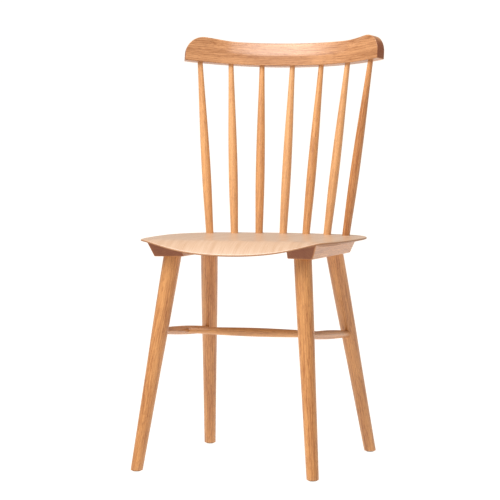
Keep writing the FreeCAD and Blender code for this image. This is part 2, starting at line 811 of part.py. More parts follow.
def rail_corner(side):
    """What the large round takes off one top corner: a block less a cylinder through the face."""
    radius = dim("rail_corner_radius")
    end_angle = math.radians(dim("rail_half_angle"))
    angle = end_angle - radius / dim("rail_radius")
    outward = Vector(side * math.sin(angle), math.cos(angle), 0)
    sideways = Vector(side * math.cos(angle), -math.sin(angle), 0)
    reach = dim("rail_radius") - 2 * dim("rail_thickness")
    tangent_end = dim("rail_radius") * math.sin(end_angle - angle)
    centre = outward * reach + sideways * (tangent_end - radius) + UP * (dim("rail_ear_height") - radius)
    name = "right" if side > 0 else "left"
    block = doc.addObject("Part::Box", f"rail_corner_block_{name}")
    bind(block, "Length", "2 * dims.rail_corner_radius")
    bind(block, "Width", "4 * dims.rail_thickness")
    bind(block, "Height", "2 * dims.rail_corner_radius")
    turn = Rotation(UP, -math.degrees(angle) * side)
    corner = centre if side > 0 else centre + sideways * (2 * radius)
    block.Placement = Placement(corner, turn)
    cylinder = rod(f"rail_corner_round_{name}", centre - outward, centre, "dims.rail_corner_radius",
                   "4 * dims.rail_thickness + 2")
    tool = doc.addObject("Part::Cut", f"rail_corner_{name}")
    tool.Base = block
    tool.Tool = cylinder
    hide(block)
    return tool


def rail_scoop():
    """Ring-shaped wedge that leans the upper half of the front face back, between the ends."""
    body = doc.addObject("PartDesign::Body", "rail_scoop")
    sketch = new_sketch(body, "rail_scoop_profile", "YZ_Plane")
    face = "(dims.rail_radius - dims.rail_thickness / 2)"
    crease = "(dims.rail_middle_height - dims.rail_scoop_height)"
    slope = "dims.rail_scoop_depth / dims.rail_scoop_height"
    over = "dims.rail_scoop_depth"
    polygon(sketch, [
        (f"{face} - {over}", f"{crease} - {over} / ({slope})"),
        (f"{face} + dims.rail_scoop_depth + {over}",
         f"dims.rail_middle_height + {over} / ({slope})"),
        (f"{face} - {over}", f"dims.rail_middle_height + {over} / ({slope})"),
    ])
    ring = body.newObject("PartDesign::Revolution", "rail_scoop_ring")
    ring.Profile = sketch
    ring.ReferenceAxis = (sketch, ["V_Axis"])
    ring.Midplane = True
    bind(ring, "Angle", "2 * dims.rail_scoop_half_angle")
    hide(sketch)
    return body


def crest_rail():
    """Bent crest rail with its raised, rounded ends, its scoop and seven sockets."""
    blank = doc.addObject("Part::Common", "rail_blank")
    blank.Base = rail_band()
    blank.Tool = rail_elevation()
    hide(blank.Base, blank.Tool)
    shaped = cut("rail_shaped", blank, [rail_corner(1), rail_corner(-1), rail_scoop()])
    shaped.Placement = RAIL_PLACE
    sockets = []
    for index in SPINDLES:
        foot, head = spindle_ends(index)
        start = head - (head - foot).normalize() * SPARE
        sockets.append(rod(f"rail_socket_{index + 4}", start, head,
                           "dims.spindle_head_dia / 2 + dims.glue_gap",
                           f"{SPARE} + dims.spindle_tenon_length + dims.socket_end_gap"))
    return cut("crest_rail", shaped, sockets)


# ---------------------------------------------------------------- batten
def rear_batten():
    """Curved batten glued and screwed under the back of the seat, holding the spindles' feet."""
    body = doc.addObject("PartDesign::Body", "batten_band")
    sketch = new_sketch(body, "batten_plan", "XY_Plane",
                        "dims.seat_top - dims.seat_thickness - dims.glue_gap - dims.batten_thickness")
    outline = Outline(sketch)
    radius = dim("spindle_seat_radius")
    centre = Vector(0, dim("spindle_seat_back") - radius, 0)
    for name, sign in (("inner", "-"), ("outer", "+")):
        formula = f"dims.spindle_seat_radius {sign} dims.batten_{name}_margin"
        edge = sketch.addGeometry(Part.Circle(centre, UP, number(formula)), False)
        outline.size(name, formula, "Radius", edge)
        outline.constrain("PointOnObject", edge, 3, V_AXIS)
        outline.size(f"{name}_centre", "dims.spindle_seat_radius - dims.spindle_seat_back",
                     "DistanceY", edge, 3, *ORIGIN)
    pad = body.newObject("PartDesign::Pad", "batten_pad")
    pad.Profile = sketch
    bind(pad, "Length", "dims.batten_thickness")
    last = max(SPINDLES)
    half_length = radius * math.sin(math.radians(last * dim("spindle_seat_step"))) + dim("batten_end_margin")
    front = dim("knee_rear_y") + dim("bearer_rear_margin") + dim("batten_gap")
    zone = doc.addObject("Part::Box", "batten_zone")
    zone.Length = 2 * half_length
    bind(zone, "Width", "dims.spindle_seat_radius")
    bind(zone, "Height", "dims.seat_top")
    zone.Placement = Placement(Vector(-half_length, front, 0), Rotation())
    piece = doc.addObject("Part::Common", "batten_blank")
    piece.Base = body
    piece.Tool = zone
    hide(sketch, body, zone)
    tools = []
    for index in SPINDLES:
        foot, head = spindle_ends(index)
        down = (foot - head).normalize()
        tools.append(rod(f"batten_socket_{index + 4}",
                         spindle_bottom(index) + down * dim("socket_end_gap"), head,
                         "dims.spindle_foot_dia / 2 + dims.glue_gap", f"{SPINDLE_ROOT} + {SPARE}"))
    base = dim("seat_top") - dim("seat_thickness") - dim("batten_thickness")
    tools += screw_holes("batten", batten_screw_places(), base)
    return cut("rear_batten", piece, tools)


# ---------------------------------------------------------------- assembly
nodes = [seat_panel(), crest_rail(), rear_batten()]
nodes += [spindle(index) for index in SPINDLES]
for side_name in SIDES:
    nodes.append(bearer(side_name))
    nodes.append(side_stretcher(side_name))
    for end in ENDS:
        nodes.append(leg(side_name, end))
        nodes.append(glide(side_name, end))
cross_start, cross_finish = cross_ends(-1)
nodes.append(stretcher("cross_stretcher", cross_start, cross_finish, "cross_stretcher",
                       -dim("cross_stretcher_overrun")))
nodes += [screw_group(*group) for group in SCREWS]
doc.recompute()

for thing in doc.Objects:
    if "Invalid" in thing.State or "Error" in thing.State:
        raise RuntimeError(f"{thing.Label} failed: {thing.State}")
for node in nodes:
    if node.Shape.isNull() or not node.Shape.isValid():
        raise RuntimeError(f"{node.Label} has no valid shape")

os.makedirs("parts", exist_ok=True)
for node in nodes:
    node.Shape.exportStep(os.path.join("parts", f"{node.Label}.step"))
    print(f"{node.Label}: {len(node.Shape.Solids)} solid(s), {node.Shape.Volume / 1000:.1f} cm3")
box = Part.makeCompound([node.Shape for node in nodes]).BoundBox
print(f"box {box.XMin:.2f} {box.XMax:.2f} | {box.YMin:.2f} {box.YMax:.2f} | {box.ZMin:.2f} {box.ZMax:.2f}")
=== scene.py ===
# %% [markdown]
# # A spindle-back dining chair
# The chair has four turned legs, an H of stretchers, two bearer blocks, a moulded plywood seat,
# seven turned spindles and a bent crest rail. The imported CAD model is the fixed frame: it says
# where each piece lies and how large it is. Most pieces are built again here with finer surfaces.
# The batten under the seat, the glides and the screws keep their shape, and all get a finish.

# %% Load the frame
import math

import bmesh
import bpy
import numpy as np
from mathutils import Matrix, Vector


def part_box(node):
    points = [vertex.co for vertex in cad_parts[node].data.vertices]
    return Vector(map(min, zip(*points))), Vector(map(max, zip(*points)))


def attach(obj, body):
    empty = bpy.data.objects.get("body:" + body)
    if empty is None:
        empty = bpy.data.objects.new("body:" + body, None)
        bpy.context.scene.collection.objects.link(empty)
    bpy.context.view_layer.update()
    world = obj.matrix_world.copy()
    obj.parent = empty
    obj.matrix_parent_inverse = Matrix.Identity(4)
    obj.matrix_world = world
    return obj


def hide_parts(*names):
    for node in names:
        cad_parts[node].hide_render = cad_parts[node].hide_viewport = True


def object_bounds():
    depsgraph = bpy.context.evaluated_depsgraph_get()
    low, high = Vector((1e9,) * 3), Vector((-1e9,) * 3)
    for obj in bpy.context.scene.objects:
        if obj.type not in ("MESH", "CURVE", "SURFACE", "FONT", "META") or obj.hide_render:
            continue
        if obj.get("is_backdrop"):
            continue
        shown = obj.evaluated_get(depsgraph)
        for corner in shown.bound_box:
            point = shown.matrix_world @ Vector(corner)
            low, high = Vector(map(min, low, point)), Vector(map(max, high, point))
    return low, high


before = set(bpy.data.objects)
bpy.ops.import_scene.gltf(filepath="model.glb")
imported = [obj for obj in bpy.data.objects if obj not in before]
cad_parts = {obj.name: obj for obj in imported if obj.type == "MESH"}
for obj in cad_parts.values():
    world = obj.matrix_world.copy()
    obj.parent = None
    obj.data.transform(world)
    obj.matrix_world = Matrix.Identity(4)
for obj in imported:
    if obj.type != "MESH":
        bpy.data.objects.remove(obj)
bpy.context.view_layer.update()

MM = 0.001
SIDES = {"left": -1, "right": 1}
ENDS = ("front", "rear")

# %% [markdown]
# ## The camera
# A chair looks right when its uprights stay upright, so a studio camera stands far off with a
# long lens, a little above the seat, and turns to show the front and the right-hand side.

# %% Camera
CAMERA_PLACE = (1.4508, -4.1583, 0.6798)
CAMERA_DOWN = 3.2816
CAMERA_TURN = 19.4936
CAMERA_LENS = 157.08


def add_object(name, data):
    """New object in the scene."""
    made = bpy.data.objects.new(name, data)
    bpy.context.scene.collection.objects.link(made)
    return made


camera = add_object("camera", bpy.data.cameras.new("camera"))
camera.data.lens = CAMERA_LENS
camera.location = CAMERA_PLACE
camera.rotation_euler = (math.radians(90 - CAMERA_DOWN), 0, math.radians(CAMERA_TURN))
bpy.context.scene.camera = camera
print("camera is", round(camera.location.length, 2), "m from the origin")

# %% [markdown]
# ## Writing shaders as arithmetic
# A node tree is easier to read as an expression. `Wire` wraps one output socket, so that
# `1 - mask * 0.5` adds the Math nodes by itself. Colours and vectors are never added as numbers,
# because a Math node turns them grey: they go through Mix and Vector Math nodes.


# %% The socket wrapper
class Wire:
    """One output of a node tree, usable in ordinary arithmetic."""

    def __init__(self, tree, socket=None):
        self.tree = tree
        self.socket = socket

    def node(self, kind, settings=None, inputs=None, output=0):
        """Add any node: its settings first, then the values or links of its sockets.

        The answer is one output, by its name or its number, or nothing for a node without outputs.
        """
        made = self.tree.nodes.new("ShaderNode" + kind)
        for name, value in (settings or {}).items():
            setattr(made, name, value)
        for name, value in (inputs or {}).items():
            if isinstance(value, Wire):
                self.tree.links.new(value.socket, made.inputs[name])
            else:
                made.inputs[name].default_value = value
        return None if output is None else Wire(self.tree, made.outputs[output])

    def math(self, operation, *others):
        """A Math node that takes this value first."""
        return self.node("Math", {"operation": operation}, dict(enumerate((self, *others))))

    def __add__(self, other):
        return self.math("ADD", other)

    def __sub__(self, other):
        return self.math("SUBTRACT", other)

    def __rsub__(self, other):
        return self.node("Math", {"operation": "SUBTRACT"}, {0: other, 1: self})

    def __mul__(self, other):
        return self.math("MULTIPLY", other)

    def __truediv__(self, other):
        return self.math("DIVIDE", other)

    __radd__ = __add__
    __rmul__ = __mul__

    def between(self, low, high):
        """Smooth step from 0 at low to 1 at high."""
        settings = {"interpolation_type": "SMOOTHSTEP"}
        return self.node("MapRange", settings, {"Value": self, "From Min": low, "From Max": high})

    def blend(self, first, second, mode="MIX"):
        """Mix of two colours, with this value as its factor."""
        settings = {"data_type": "RGBA", "blend_type": mode}
        return self.node("Mix", settings, {0: self, 6: first, 7: second}, output=2)

    def clamped(self):
        """This value, held between 0 and 1."""
        return self.node("Clamp", {}, {"Value": self})

    def axes(self):
        """The three numbers of this vector."""
        apart = self.node("SeparateXYZ", {}, {0: self})
        return [Wire(self.tree, socket) for socket in apart.socket.node.outputs]

    def squeezed(self, share):
        """This vector with its third axis scaled: below 1, patterns stretch along that axis."""
        return self.node("VectorMath", {"operation": "MULTIPLY"}, {0: self, 1: (1.0, 1.0, share)})

    def noise(self, scale, detail=2.0, roughness=0.5):
        """Soft noise from 0 to 1 over this vector."""
        values = {"Vector": self, "Scale": scale, "Detail": detail, "Roughness": roughness}
        return self.node("TexNoise", {}, values)

    def bumps(self, strength, distance):
        """Normal of a surface with this height on it, where 1 stands for the distance in metres."""
        values = {"Strength": strength, "Distance": distance, "Height": self}
        return self.node("Bump", {}, values)

    def attribute(self, name, output="Fac"):
        """A number that the mesh carries on its vertices, or a vector with output="Vector"."""
        return self.node("Attribute", {"attribute_name": name}, output=output)


def tone(red, green, blue):
    """Colour from the 0 to 255 values of a paint chart, in the linear light of a shader."""
    shares = [value / 255 for value in (red, green, blue)]
    linear = [s / 12.92 if s <= 0.04045 else ((s + 0.055) / 1.055) ** 2.4 for s in shares]
    return (*linear, 1.0)


def new_material(name):
    """Material with no nodes, and a Wire without a socket to start its tree from."""
    material = bpy.data.materials.new(name)
    material.use_nodes = True
    material.node_tree.nodes.clear()
    return material, Wire(material.node_tree)


def finish_material(start, shader):
    """Lead the surface shader to the material's output."""
    start.node("OutputMaterial", {}, {"Surface": shader}, output=None)


print("a middle grey in linear light is", round(tone(128, 128, 128)[0], 3))

# %% [markdown]
# ## Oak
# Oak is ring-porous: each year's first wood holds open pores, which show along the grain as fine
# dark dashes, and its later wood is smooth and a little darker. The pattern is solid, as in real
# timber. Every piece built here carries an attribute `grain` on its vertices: the place of that
# vertex in its plank, in centimetres, with the third axis along the fibres and the tree's pith on
# that axis. Turned, bent and sawn pieces then all share one pattern. The attribute `end` says how
# far a surface faces along the fibres, where the cut ends drink more finish and turn dark.

# %% Oak's finish
OAK_LIGHT = tone(216, 154, 92)
OAK_DARK = tone(154, 90, 40)
OAK_PORE = tone(108, 60, 28)
OAK_END = tone(116, 56, 28)
# paler pieces mix towards this: partly a paler tone, partly a painted sheen of the lacquer
OAK_PALE_AND_SHEEN = tone(236, 196, 150)

# each pattern: its squeeze along the fibres, then the scale, detail and roughness of its noise
DRIFT = (0.12, 0.45, 2.0, 0.5)
SWAY = (0.3, 1.1, 2.0, 0.5)
PATCH = (0.08, 0.8, 3.0, 0.5)
STREAK = (0.05, 4.5, 4.0, 0.65)
FLECK = (0.13, 5.5, 3.0, 0.6)
PORE = (0.07, 20.0, 2.0, 0.55)

# how much each pattern bends the rings, in centimetres, or darkens the wood
SWAY_BEND = 0.35
LATE_WEIGHT, PATCH_WEIGHT, STREAK_WEIGHT = 0.3, 1.3, 1.5
MIDDLE_SHADE = 0.22
PORES_IN_LATE_WOOD = 0.3


def oak_colour(grain, light, dark, ring_width, wander=1.6, figure=0.4):
    """Growth rings and pores over a grain vector: the colour, the pores and the late wood."""

    def pattern(squeeze, *noise):
        return grain.squeezed(squeeze).noise(*noise)

    across, deep, _ = grain.axes()
    radius = (across * across + deep * deep).math("SQRT")
    bent = radius + (pattern(*DRIFT) - 0.5) * wander + (pattern(*SWAY) - 0.5) * SWAY_BEND
    phase = (bent / ring_width).math("FRACT")
    late = phase.between(0.3, 0.85) * (1 - phase.between(0.9, 1.0))
    fleck = pattern(*FLECK).between(0.52, 0.68)
    pore = pattern(*PORE).between(0.56, 0.68) * (1 - late * (1 - PORES_IN_LATE_WOOD))
    tone_and_sheen = grain.attribute("tone_and_sheen")
    amount = late * LATE_WEIGHT + (pattern(*PATCH) - 0.5) * PATCH_WEIGHT
    amount = amount + (pattern(*STREAK) - 0.5) * STREAK_WEIGHT + fleck * figure
    colour = (amount + tone_and_sheen + MIDDLE_SHADE).clamped().blend(light, dark)
    # below 0 the colour mixes towards the pale colour: partly paler tone, partly painted sheen
    return (0 - tone_and_sheen).clamped().blend(colour, OAK_PALE_AND_SHEEN), pore, late


def carried_grain(start):
    """Grain and cut ends from the attributes of a mesh-built piece."""
    return start.attribute("grain", "Vector"), start.attribute("end")


RING_WIDTH = 0.42
LATE_WOOD_RISE = 0.4
LACQUER_ROUGHNESS = 0.34
LACQUER_ON_ENDS = 0.1
WOOD_IOR = 1.5


def oak(name, light=OAK_LIGHT, dark=OAK_DARK, lacquer=0.5, read_grain=carried_grain):
    """Satin-lacquered oak."""
    material, start = new_material(name)
    grain, end = read_grain(start)
    colour, pore, late = oak_colour(grain, light, dark, RING_WIDTH)
    speckle = grain.noise(9.0, 3.0, 0.6)
    drunk = end.between(0.55, 0.95)
    colour = (pore * 0.5).blend(colour, OAK_PORE)
    colour = (drunk * (0.72 + speckle * 0.22)).blend(colour, OAK_END)
    shader = start.node("BsdfPrincipled", {}, {
        "Base Color": colour,
        "Roughness": 0.4 + pore * 0.22 + (speckle - 0.5) * 0.12 + drunk * 0.12,
        "Normal": (LATE_WOOD_RISE * late - pore).bumps(0.25, 0.2 * MM),
        "Coat Weight": lacquer - drunk * (lacquer - LACQUER_ON_ENDS),
        "Coat Roughness": LACQUER_ROUGHNESS,
        "IOR": WOOD_IOR,
    })
    finish_material(start, shader)
    return material


oak_finish = oak("oak_satin")
# the rail's oak is paler and greyer than the rest: partly its own tone, partly painted sheen
rail_finish = oak("oak_rail", tone(208, 152, 104), tone(146, 92, 50), lacquer=0.3)
print("finish", oak_finish.name, "has", len(oak_finish.node_tree.nodes), "nodes")

# %% [markdown]
# ## The seat's veneer
# The seat is pressed from thin veneers. Its face shows one paler sheet whose grain runs from the
# back to the front, and the trimmed edge shows the plies as light and dark lines. The attribute
# `depth` holds the distance below the top face in centimetres, so the same finish can paint the
# face and the edge.

# %% Veneer and plies
VENEER_LIGHT = tone(200, 170, 144)
VENEER_DARK = tone(174, 134, 100)
PLY_LIGHT = tone(176, 128, 88)
PLY_DARK = tone(132, 84, 52)
PLY_THICKNESS = 0.15
FACE_VENEER = 0.05
GLUE_LINE = 0.02
VENEER_RINGS = 0.24
SEAT_THICKNESS = 12.0 * MM
METRES_TO_CM = 100


def veneer(name, panel_depth):
    """Lacquered plywood: a quiet face veneer, and plies wherever the panel is cut deeper."""
    material, start = new_material(name)
    grain, _ = carried_grain(start)
    depth = start.attribute("depth")
    face, pore, late = oak_colour(grain, VENEER_LIGHT, VENEER_DARK, VENEER_RINGS, wander=0.6, figure=0.1)
    face = (pore * 0.3).blend(face, VENEER_DARK)
    layer = (depth / PLY_THICKNESS).math("PINGPONG", 1.0)
    plies = layer.between(0.35, 0.65).blend(PLY_DARK, PLY_LIGHT)
    low_face = panel_depth - FACE_VENEER
    cut = depth.between(FACE_VENEER, FACE_VENEER + GLUE_LINE)
    cut = cut * (1 - depth.between(low_face - GLUE_LINE, low_face))
    shader = start.node("BsdfPrincipled", {}, {
        "Base Color": cut.blend(face, plies),
        "Roughness": 0.36 + pore * 0.16 + cut * 0.2,
        "Normal": (LATE_WOOD_RISE * late - pore).bumps(0.2, 0.1 * MM),
        "Coat Weight": 0.15,
        "Coat Roughness": 0.25,
        "IOR": WOOD_IOR,
    })
    finish_material(start, shader)
    return material


veneer_finish = veneer("oak_veneer", SEAT_THICKNESS * METRES_TO_CM)
print("plies across the panel:", round(SEAT_THICKNESS * METRES_TO_CM / PLY_THICKNESS))

# %% [markdown]
# ## One way to build every piece
# A turned leg, a bent rail and a moulded seat can all be made as a stack of closed loops of points:
# the loops are bridged with quads, and the first and last loops are filled with a grid that
# blends their four sides (a Coons patch). That gives closed, even meshes without poles.


# %% Stacked loops
def fill_grid(loop, across, along):
    """Points of a grid inside a loop of 2 * (across + along) points, edges included."""
    corner = np.cumsum([0, across, along, across])
    closed = np.vstack([loop, loop[:1]])
    low = closed[corner[0]:corner[1] + 1]
    right = closed[corner[1]:corner[2] + 1]
    high = closed[corner[2]:corner[3] + 1][::-1]
    left = closed[corner[3]:][::-1]
    u = np.linspace(0, 1, across + 1)[:, None, None]
    v = np.linspace(0, 1, along + 1)[None, :, None]
    sides = (1 - v) * low[:, None] + v * high[:, None] + (1 - u) * left[None] + u * right[None]
    corners = (1 - u) * (1 - v) * low[0] + u * (1 - v) * low[-1] + u * v * high[-1]
    return sides - corners - (1 - u) * v * high[0]


def stack_faces(count, across, along):
    """Faces of a stack of loops, and where each cap's grid reads its points from."""
    around = 2 * (across + along)
    faces = []
    for level in range(count - 1):
        for spot in range(around):
            after = (spot + 1) % around
            base = level * around
            faces.append((base + spot, base + after, base + around + after, base + around + spot))
    extra = count * around
    for level in (0, count - 1):
        index = np.zeros((across + 1, along + 1), int)
        rim = level * around + np.arange(around)
        index[:, 0] = rim[:across + 1]
        index[-1, :] = rim[across:across + along + 1]
        index[:, -1] = rim[across + along:2 * across + along + 1][::-1]
        index[0, :] = np.append(rim[2 * across + along:], rim[0])[::-1]
        inner = (across - 1) * (along - 1)
        index[1:-1, 1:-1] = extra + np.arange(inner).reshape(across - 1, along - 1)
        extra += inner
        for i in range(across):
            for j in range(along):
                faces.append((index[i, j], index[i + 1, j], index[i + 1, j + 1], index[i, j + 1]))
    return faces


def stack(name, loops, across, along, mould=None, lid=None):
    """Closed mesh object from loops of points.

    mould turns all points at once into their final places, and lid does so for the inner points
    of the last cap only.
    """
    loops = np.asarray(loops, float)
    caps = (fill_grid(loop, across, along) for loop in (loops[0], loops[-1]))
    inner = [cap[1:-1, 1:-1].reshape(-1, 3) for cap in caps]
    if lid:
        inner[1] = lid(inner[1])
    points = np.vstack([loops.reshape(-1, 3), *inner])
    if mould:
        points = mould(points)
    mesh = bpy.data.meshes.new(name)
    mesh.from_pydata(points.tolist(), [], stack_faces(len(loops), across, along))
    work = bmesh.new()
    work.from_mesh(mesh)
    bmesh.ops.recalc_face_normals(work, faces=work.faces)
    work.to_mesh(mesh)
    work.free()
    return add_object(name, mesh)


def ring(centre, first, second, radius, around):
    """Circle of points about a centre, in the plane of two unit vectors."""
    turn = np.linspace(0, 2 * math.pi, around, endpoint=False)[:, None]
    return np.array(centre) + radius * (np.cos(turn) * np.array(first) + np.sin(turn) * np.array(second))


def square_to(axis):
    """Two unit vectors square to an axis and to each other."""
    first = axis.orthogonal().normalized()
    return first, axis.cross(first).normalized()


print("a stack of 3 loops of 8 points has", len(stack_faces(3, 2, 2)), "faces")

# %% [markdown]
# ## Sockets, grain and joints with the frame
# Real joints are pegs in sockets, so each socket is cut with a Boolean modifier that is applied
# straight away. Then the grain, the cut ends and the shading are written on the final mesh.


# %% Sockets and surface attributes
SOCKET_GAP = 0.1 * MM
SMOOTH_ANGLE = math.radians(32)
CUTTER_AROUND = 32


def bore(piece, rods):
    """Cut round sockets, given as (start, direction, radius, length)."""
    for start, direction, radius, length in rods:
        direction = Vector(direction).normalized()
        first, second = square_to(direction)
        ends = (Vector(start), Vector(start) + direction * length)
        loops = [ring(end, first, second, radius + SOCKET_GAP, CUTTER_AROUND) for end in ends]
        cutter = stack("cutter", loops, CUTTER_AROUND // 4, CUTTER_AROUND // 4)
        cut = piece.modifiers.new("socket", "BOOLEAN")
        cut.operation = "DIFFERENCE"
        cut.solver = "EXACT"
        cut.object = cutter
        evaluated = piece.evaluated_get(bpy.context.evaluated_depsgraph_get())
        bored = bpy.data.meshes.new_from_object(evaluated)
        piece.modifiers.clear()
        piece.data = bored
        bpy.data.objects.remove(cutter)


def set_attribute(mesh, name, kind, values):
    """Write one value, or one vector, per vertex."""
    made = mesh.attributes.new(name, kind, "POINT")
    field = "vector" if kind == "FLOAT_VECTOR" else "value"
    made.data.foreach_set(field, np.asarray(values, np.float32).ravel())


def corners_of(piece):
    """All vertices of a piece as an array."""
    places = np.zeros(len(piece.data.vertices) * 3, np.float32)
    piece.data.vertices.foreach_get("co", places)
    return places.reshape(-1, 3).astype(float)


# %% [markdown]
# ## Dressing a piece
# No two planks have the same tone, so each piece is a little darker (above 0) or paler (below 0)
# than the middle, and it is cut from its own place in a tree. Below 0 it is also mixed towards a
# pale colour, partly a paler tone and partly a painted sheen of the lacquer, most on the spindles.
# What isn't listed is left to chance, with a fixed seed.

# %% Planks and finish
plank = np.random.default_rng(7)
CHANCE_SHADE = 0.1
PITH_NEAREST = (3.5, -1.5, -50)
PITH_FARTHEST = (7.0, 1.5, 50)
TONES_AND_SHEEN = {"crest_rail": 0.2, "rear_left_leg": 0.05, "front_left_leg": 0.0,
          "left_bearer": 0.12, "right_bearer": 0.12, "cross_stretcher": -0.1,
          "left_side_stretcher": 0.15, "right_side_stretcher": 0.12}
# the spindles are paler, partly in tone and partly by painted sheen; the last one is darker
SPINDLE_TONES_AND_SHEEN = (-0.12, -0.2, -0.1, -0.22, -0.08, -0.18, 0.25)
SPINDLES = [f"spindle_{count + 1}" for count in range(len(SPINDLE_TONES_AND_SHEEN))]
TONES_AND_SHEEN.update(zip(SPINDLES, SPINDLE_TONES_AND_SHEEN))


def dress(piece, node, fibres, finish, pith=None):
    """Give a piece its shading, its grain and its finish, and set it in the frame.

    fibres turns the vertices into (across, deep, along) places in metres and gives the direction
    of the fibres at each vertex. pith is where the tree's pith lies from there, in centimetres.
    """
    mesh = piece.data
    mesh.shade_smooth()
    mesh.set_sharp_from_angle(angle=SMOOTH_ANGLE)
    places, along = fibres(corners_of(piece))
    offset = plank.uniform(PITH_NEAREST, PITH_FARTHEST) if pith is None else np.array(pith)
    set_attribute(mesh, "grain", "FLOAT_VECTOR", places * METRES_TO_CM + offset)
    normals = np.array([vertex.normal for vertex in mesh.vertices])
    set_attribute(mesh, "end", "FLOAT", np.abs((normals * along).sum(1)))
    # the piece's tone; below 0 it also brings in the painted sheen of the pale colour
    tone_and_sheen = TONES_AND_SHEEN.get(node, plank.uniform(-CHANCE_SHADE, CHANCE_SHADE))
    set_attribute(mesh, "tone_and_sheen", "FLOAT", np.full(len(normals), tone_and_sheen))
    mesh.materials.clear()
    mesh.materials.append(finish)
    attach(piece, "root")
    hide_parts(node)
    return piece


def straight_fibres(start, axis):
    """Fibres that run along one axis, measured from a start point."""
    first, second = square_to(axis)
    basis = np.array([first, second, axis])

    def read(points):
        places = (points - np.array(start)) @ basis.T
        return places, np.array(axis)

    return read


# %% [markdown]
# ## Measuring the frame
# The axis of each turned CAD piece is measured, so that the new piece lies exactly on it. Profiles
# are smooth curves through a few stations.

# %% Axes and profiles
RIM_DEPTH = 0.3 * MM


def rim_centre(points, reach, edge):
    """Centre of the vertices at one end of a turned piece."""
    rim = points[np.abs(reach - edge) < RIM_DEPTH]
    return Vector((rim.min(0) + rim.max(0)) / 2)


def axis_of(node):
    """The two ends of a turned CAD piece's axis, nearest the floor or the front first."""
    points = corners_of(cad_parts[node])
    centre = (points.min(0) + points.max(0)) / 2
    direction = np.linalg.svd(points - points.mean(0), full_matrices=False)[2][0]
    reach = (points - centre) @ direction
    ends = [rim_centre(points, reach, edge) for edge in (reach.min(), reach.max())]
    return sorted(ends, key=lambda end: (round(end.z, 1), end.y, end.x))


def through(stations, shares):
    """Smooth curve through (share, value) stations, read at many shares."""
    x, y = np.array(stations, float).T
    slope = np.gradient(y, x)
    at = np.clip(np.searchsorted(x, shares, side="right") - 1, 0, len(x) - 2)
    width = x[at + 1] - x[at]
    t = (shares - x[at]) / width
    rise = y[at + 1] - y[at]
    bend = t * (t - 1) * ((t - 1) * slope[at] + t * slope[at + 1])
    return y[at] + rise * t * t * (3 - 2 * t) + bend * width


for node in ("spindle_4", "cross_stretcher"):
    low, high = axis_of(node)
    print(node, "is", round((high - low).length, 3), "m long")

# %% [markdown]
# ## Legs
# Each leg is turned from one length of oak, thickest under the seat, with a slight swelling
# (entasis) that keeps it from looking hollow. It splays two ways, so its foot and its shoulder are
# cut level: every ring of points lies on the round leg where a level plane meets it. A round tenon
# stands on the shoulder, inside the bearer.

# %% Legs
LEG_PROFILE = ((0.0, 12.0), (0.28, 13.6), (0.47, 14.7), (0.65, 16.1), (0.84, 17.1), (1.0, 17.6))
LEG_AROUND = 16
LEG_RINGS = 40
FOOT_ROUND = 1.6 * MM
TENON_RADIUS = 11.0 * MM
SIDE_STRETCHER = (14.2, 18.2)
SOCKET_REACH = 60 * MM
ROUND_TURNS = np.radians((0, 30, 60, 90))


def level_ring(start, axis, radius, height, around):
    """Where a level plane cuts a round bar: an oval of points."""
    first, second = square_to(axis)
    flat = ring((0, 0, 0), first, second, radius, around)
    run = (height - start.z - flat[:, 2:3]) / axis.z
    return np.array(start) + np.array(axis) * run + flat


def foot_places():
    """Sole centre of each leg, and the leg's unit axis."""
    places = {}
    for end in ENDS:
        for side in SIDES:
            sole = sum(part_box(f"{end}_{side}_glide"), Vector()) / 2
            sole.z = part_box(f"{end}_{side}_leg")[0].z
            places[end, side] = (sole, (axis_of(f"{end}_{side}_leg")[1] - sole).normalized())
    return places


def leg(end, side):
    """One leg with its tenon, and the socket for its stretcher."""
    node = f"{end}_{side}_leg"
    sole, axis = feet[end, side]
    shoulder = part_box(f"{side}_bearer")[0].z
    top = axis_of(node)[1]
    around = 4 * LEG_AROUND
    loops = []
    for turn in ROUND_TURNS:
        radius = LEG_PROFILE[0][1] * MM - FOOT_ROUND * (1 - math.sin(turn))
        height = sole.z + FOOT_ROUND * (1 - math.cos(turn))
        loops.append(level_ring(sole, axis, radius, height, around))
    shares = np.linspace(0, 1, LEG_RINGS)[1:]
    for share, radius in zip(shares, through(LEG_PROFILE, shares) * MM):
        height = sole.z + FOOT_ROUND + (shoulder - sole.z - FOOT_ROUND) * share
        loops.append(level_ring(sole, axis, radius, height, around))
    loops.append(level_ring(sole, axis, TENON_RADIUS, shoulder, around))
    first, second = square_to(axis)
    loops.append(ring(top - axis * FOOT_ROUND, first, second, TENON_RADIUS, around))
    loops.append(ring(top, first, second, TENON_RADIUS - FOOT_ROUND, around))
    piece = stack(f"{node}_turned", loops, LEG_AROUND, LEG_AROUND)
    start, finish = axis_of(f"{side}_side_stretcher")
    if end == "rear":
        start, finish = finish, start
    bore(piece, [(start, finish - start, SIDE_STRETCHER[0] / 2 * MM, SOCKET_REACH)])
    return dress(piece, node, straight_fibres(sole, axis), oak_finish)


feet = foot_places()
for end in ENDS:
    for side in SIDES:
        made = leg(end, side)
        print(made.name, len(made.data.polygons), "faces")

# %% [markdown]
# ## Stretchers
# The side stretchers are turned with a gentle swell in the middle, where the cross stretcher's
# ends are let in. The cross stretcher is slimmer at its ends, so that its sockets stay small.


# %% Stretchers
TIP_ROUND = 1.0 * MM


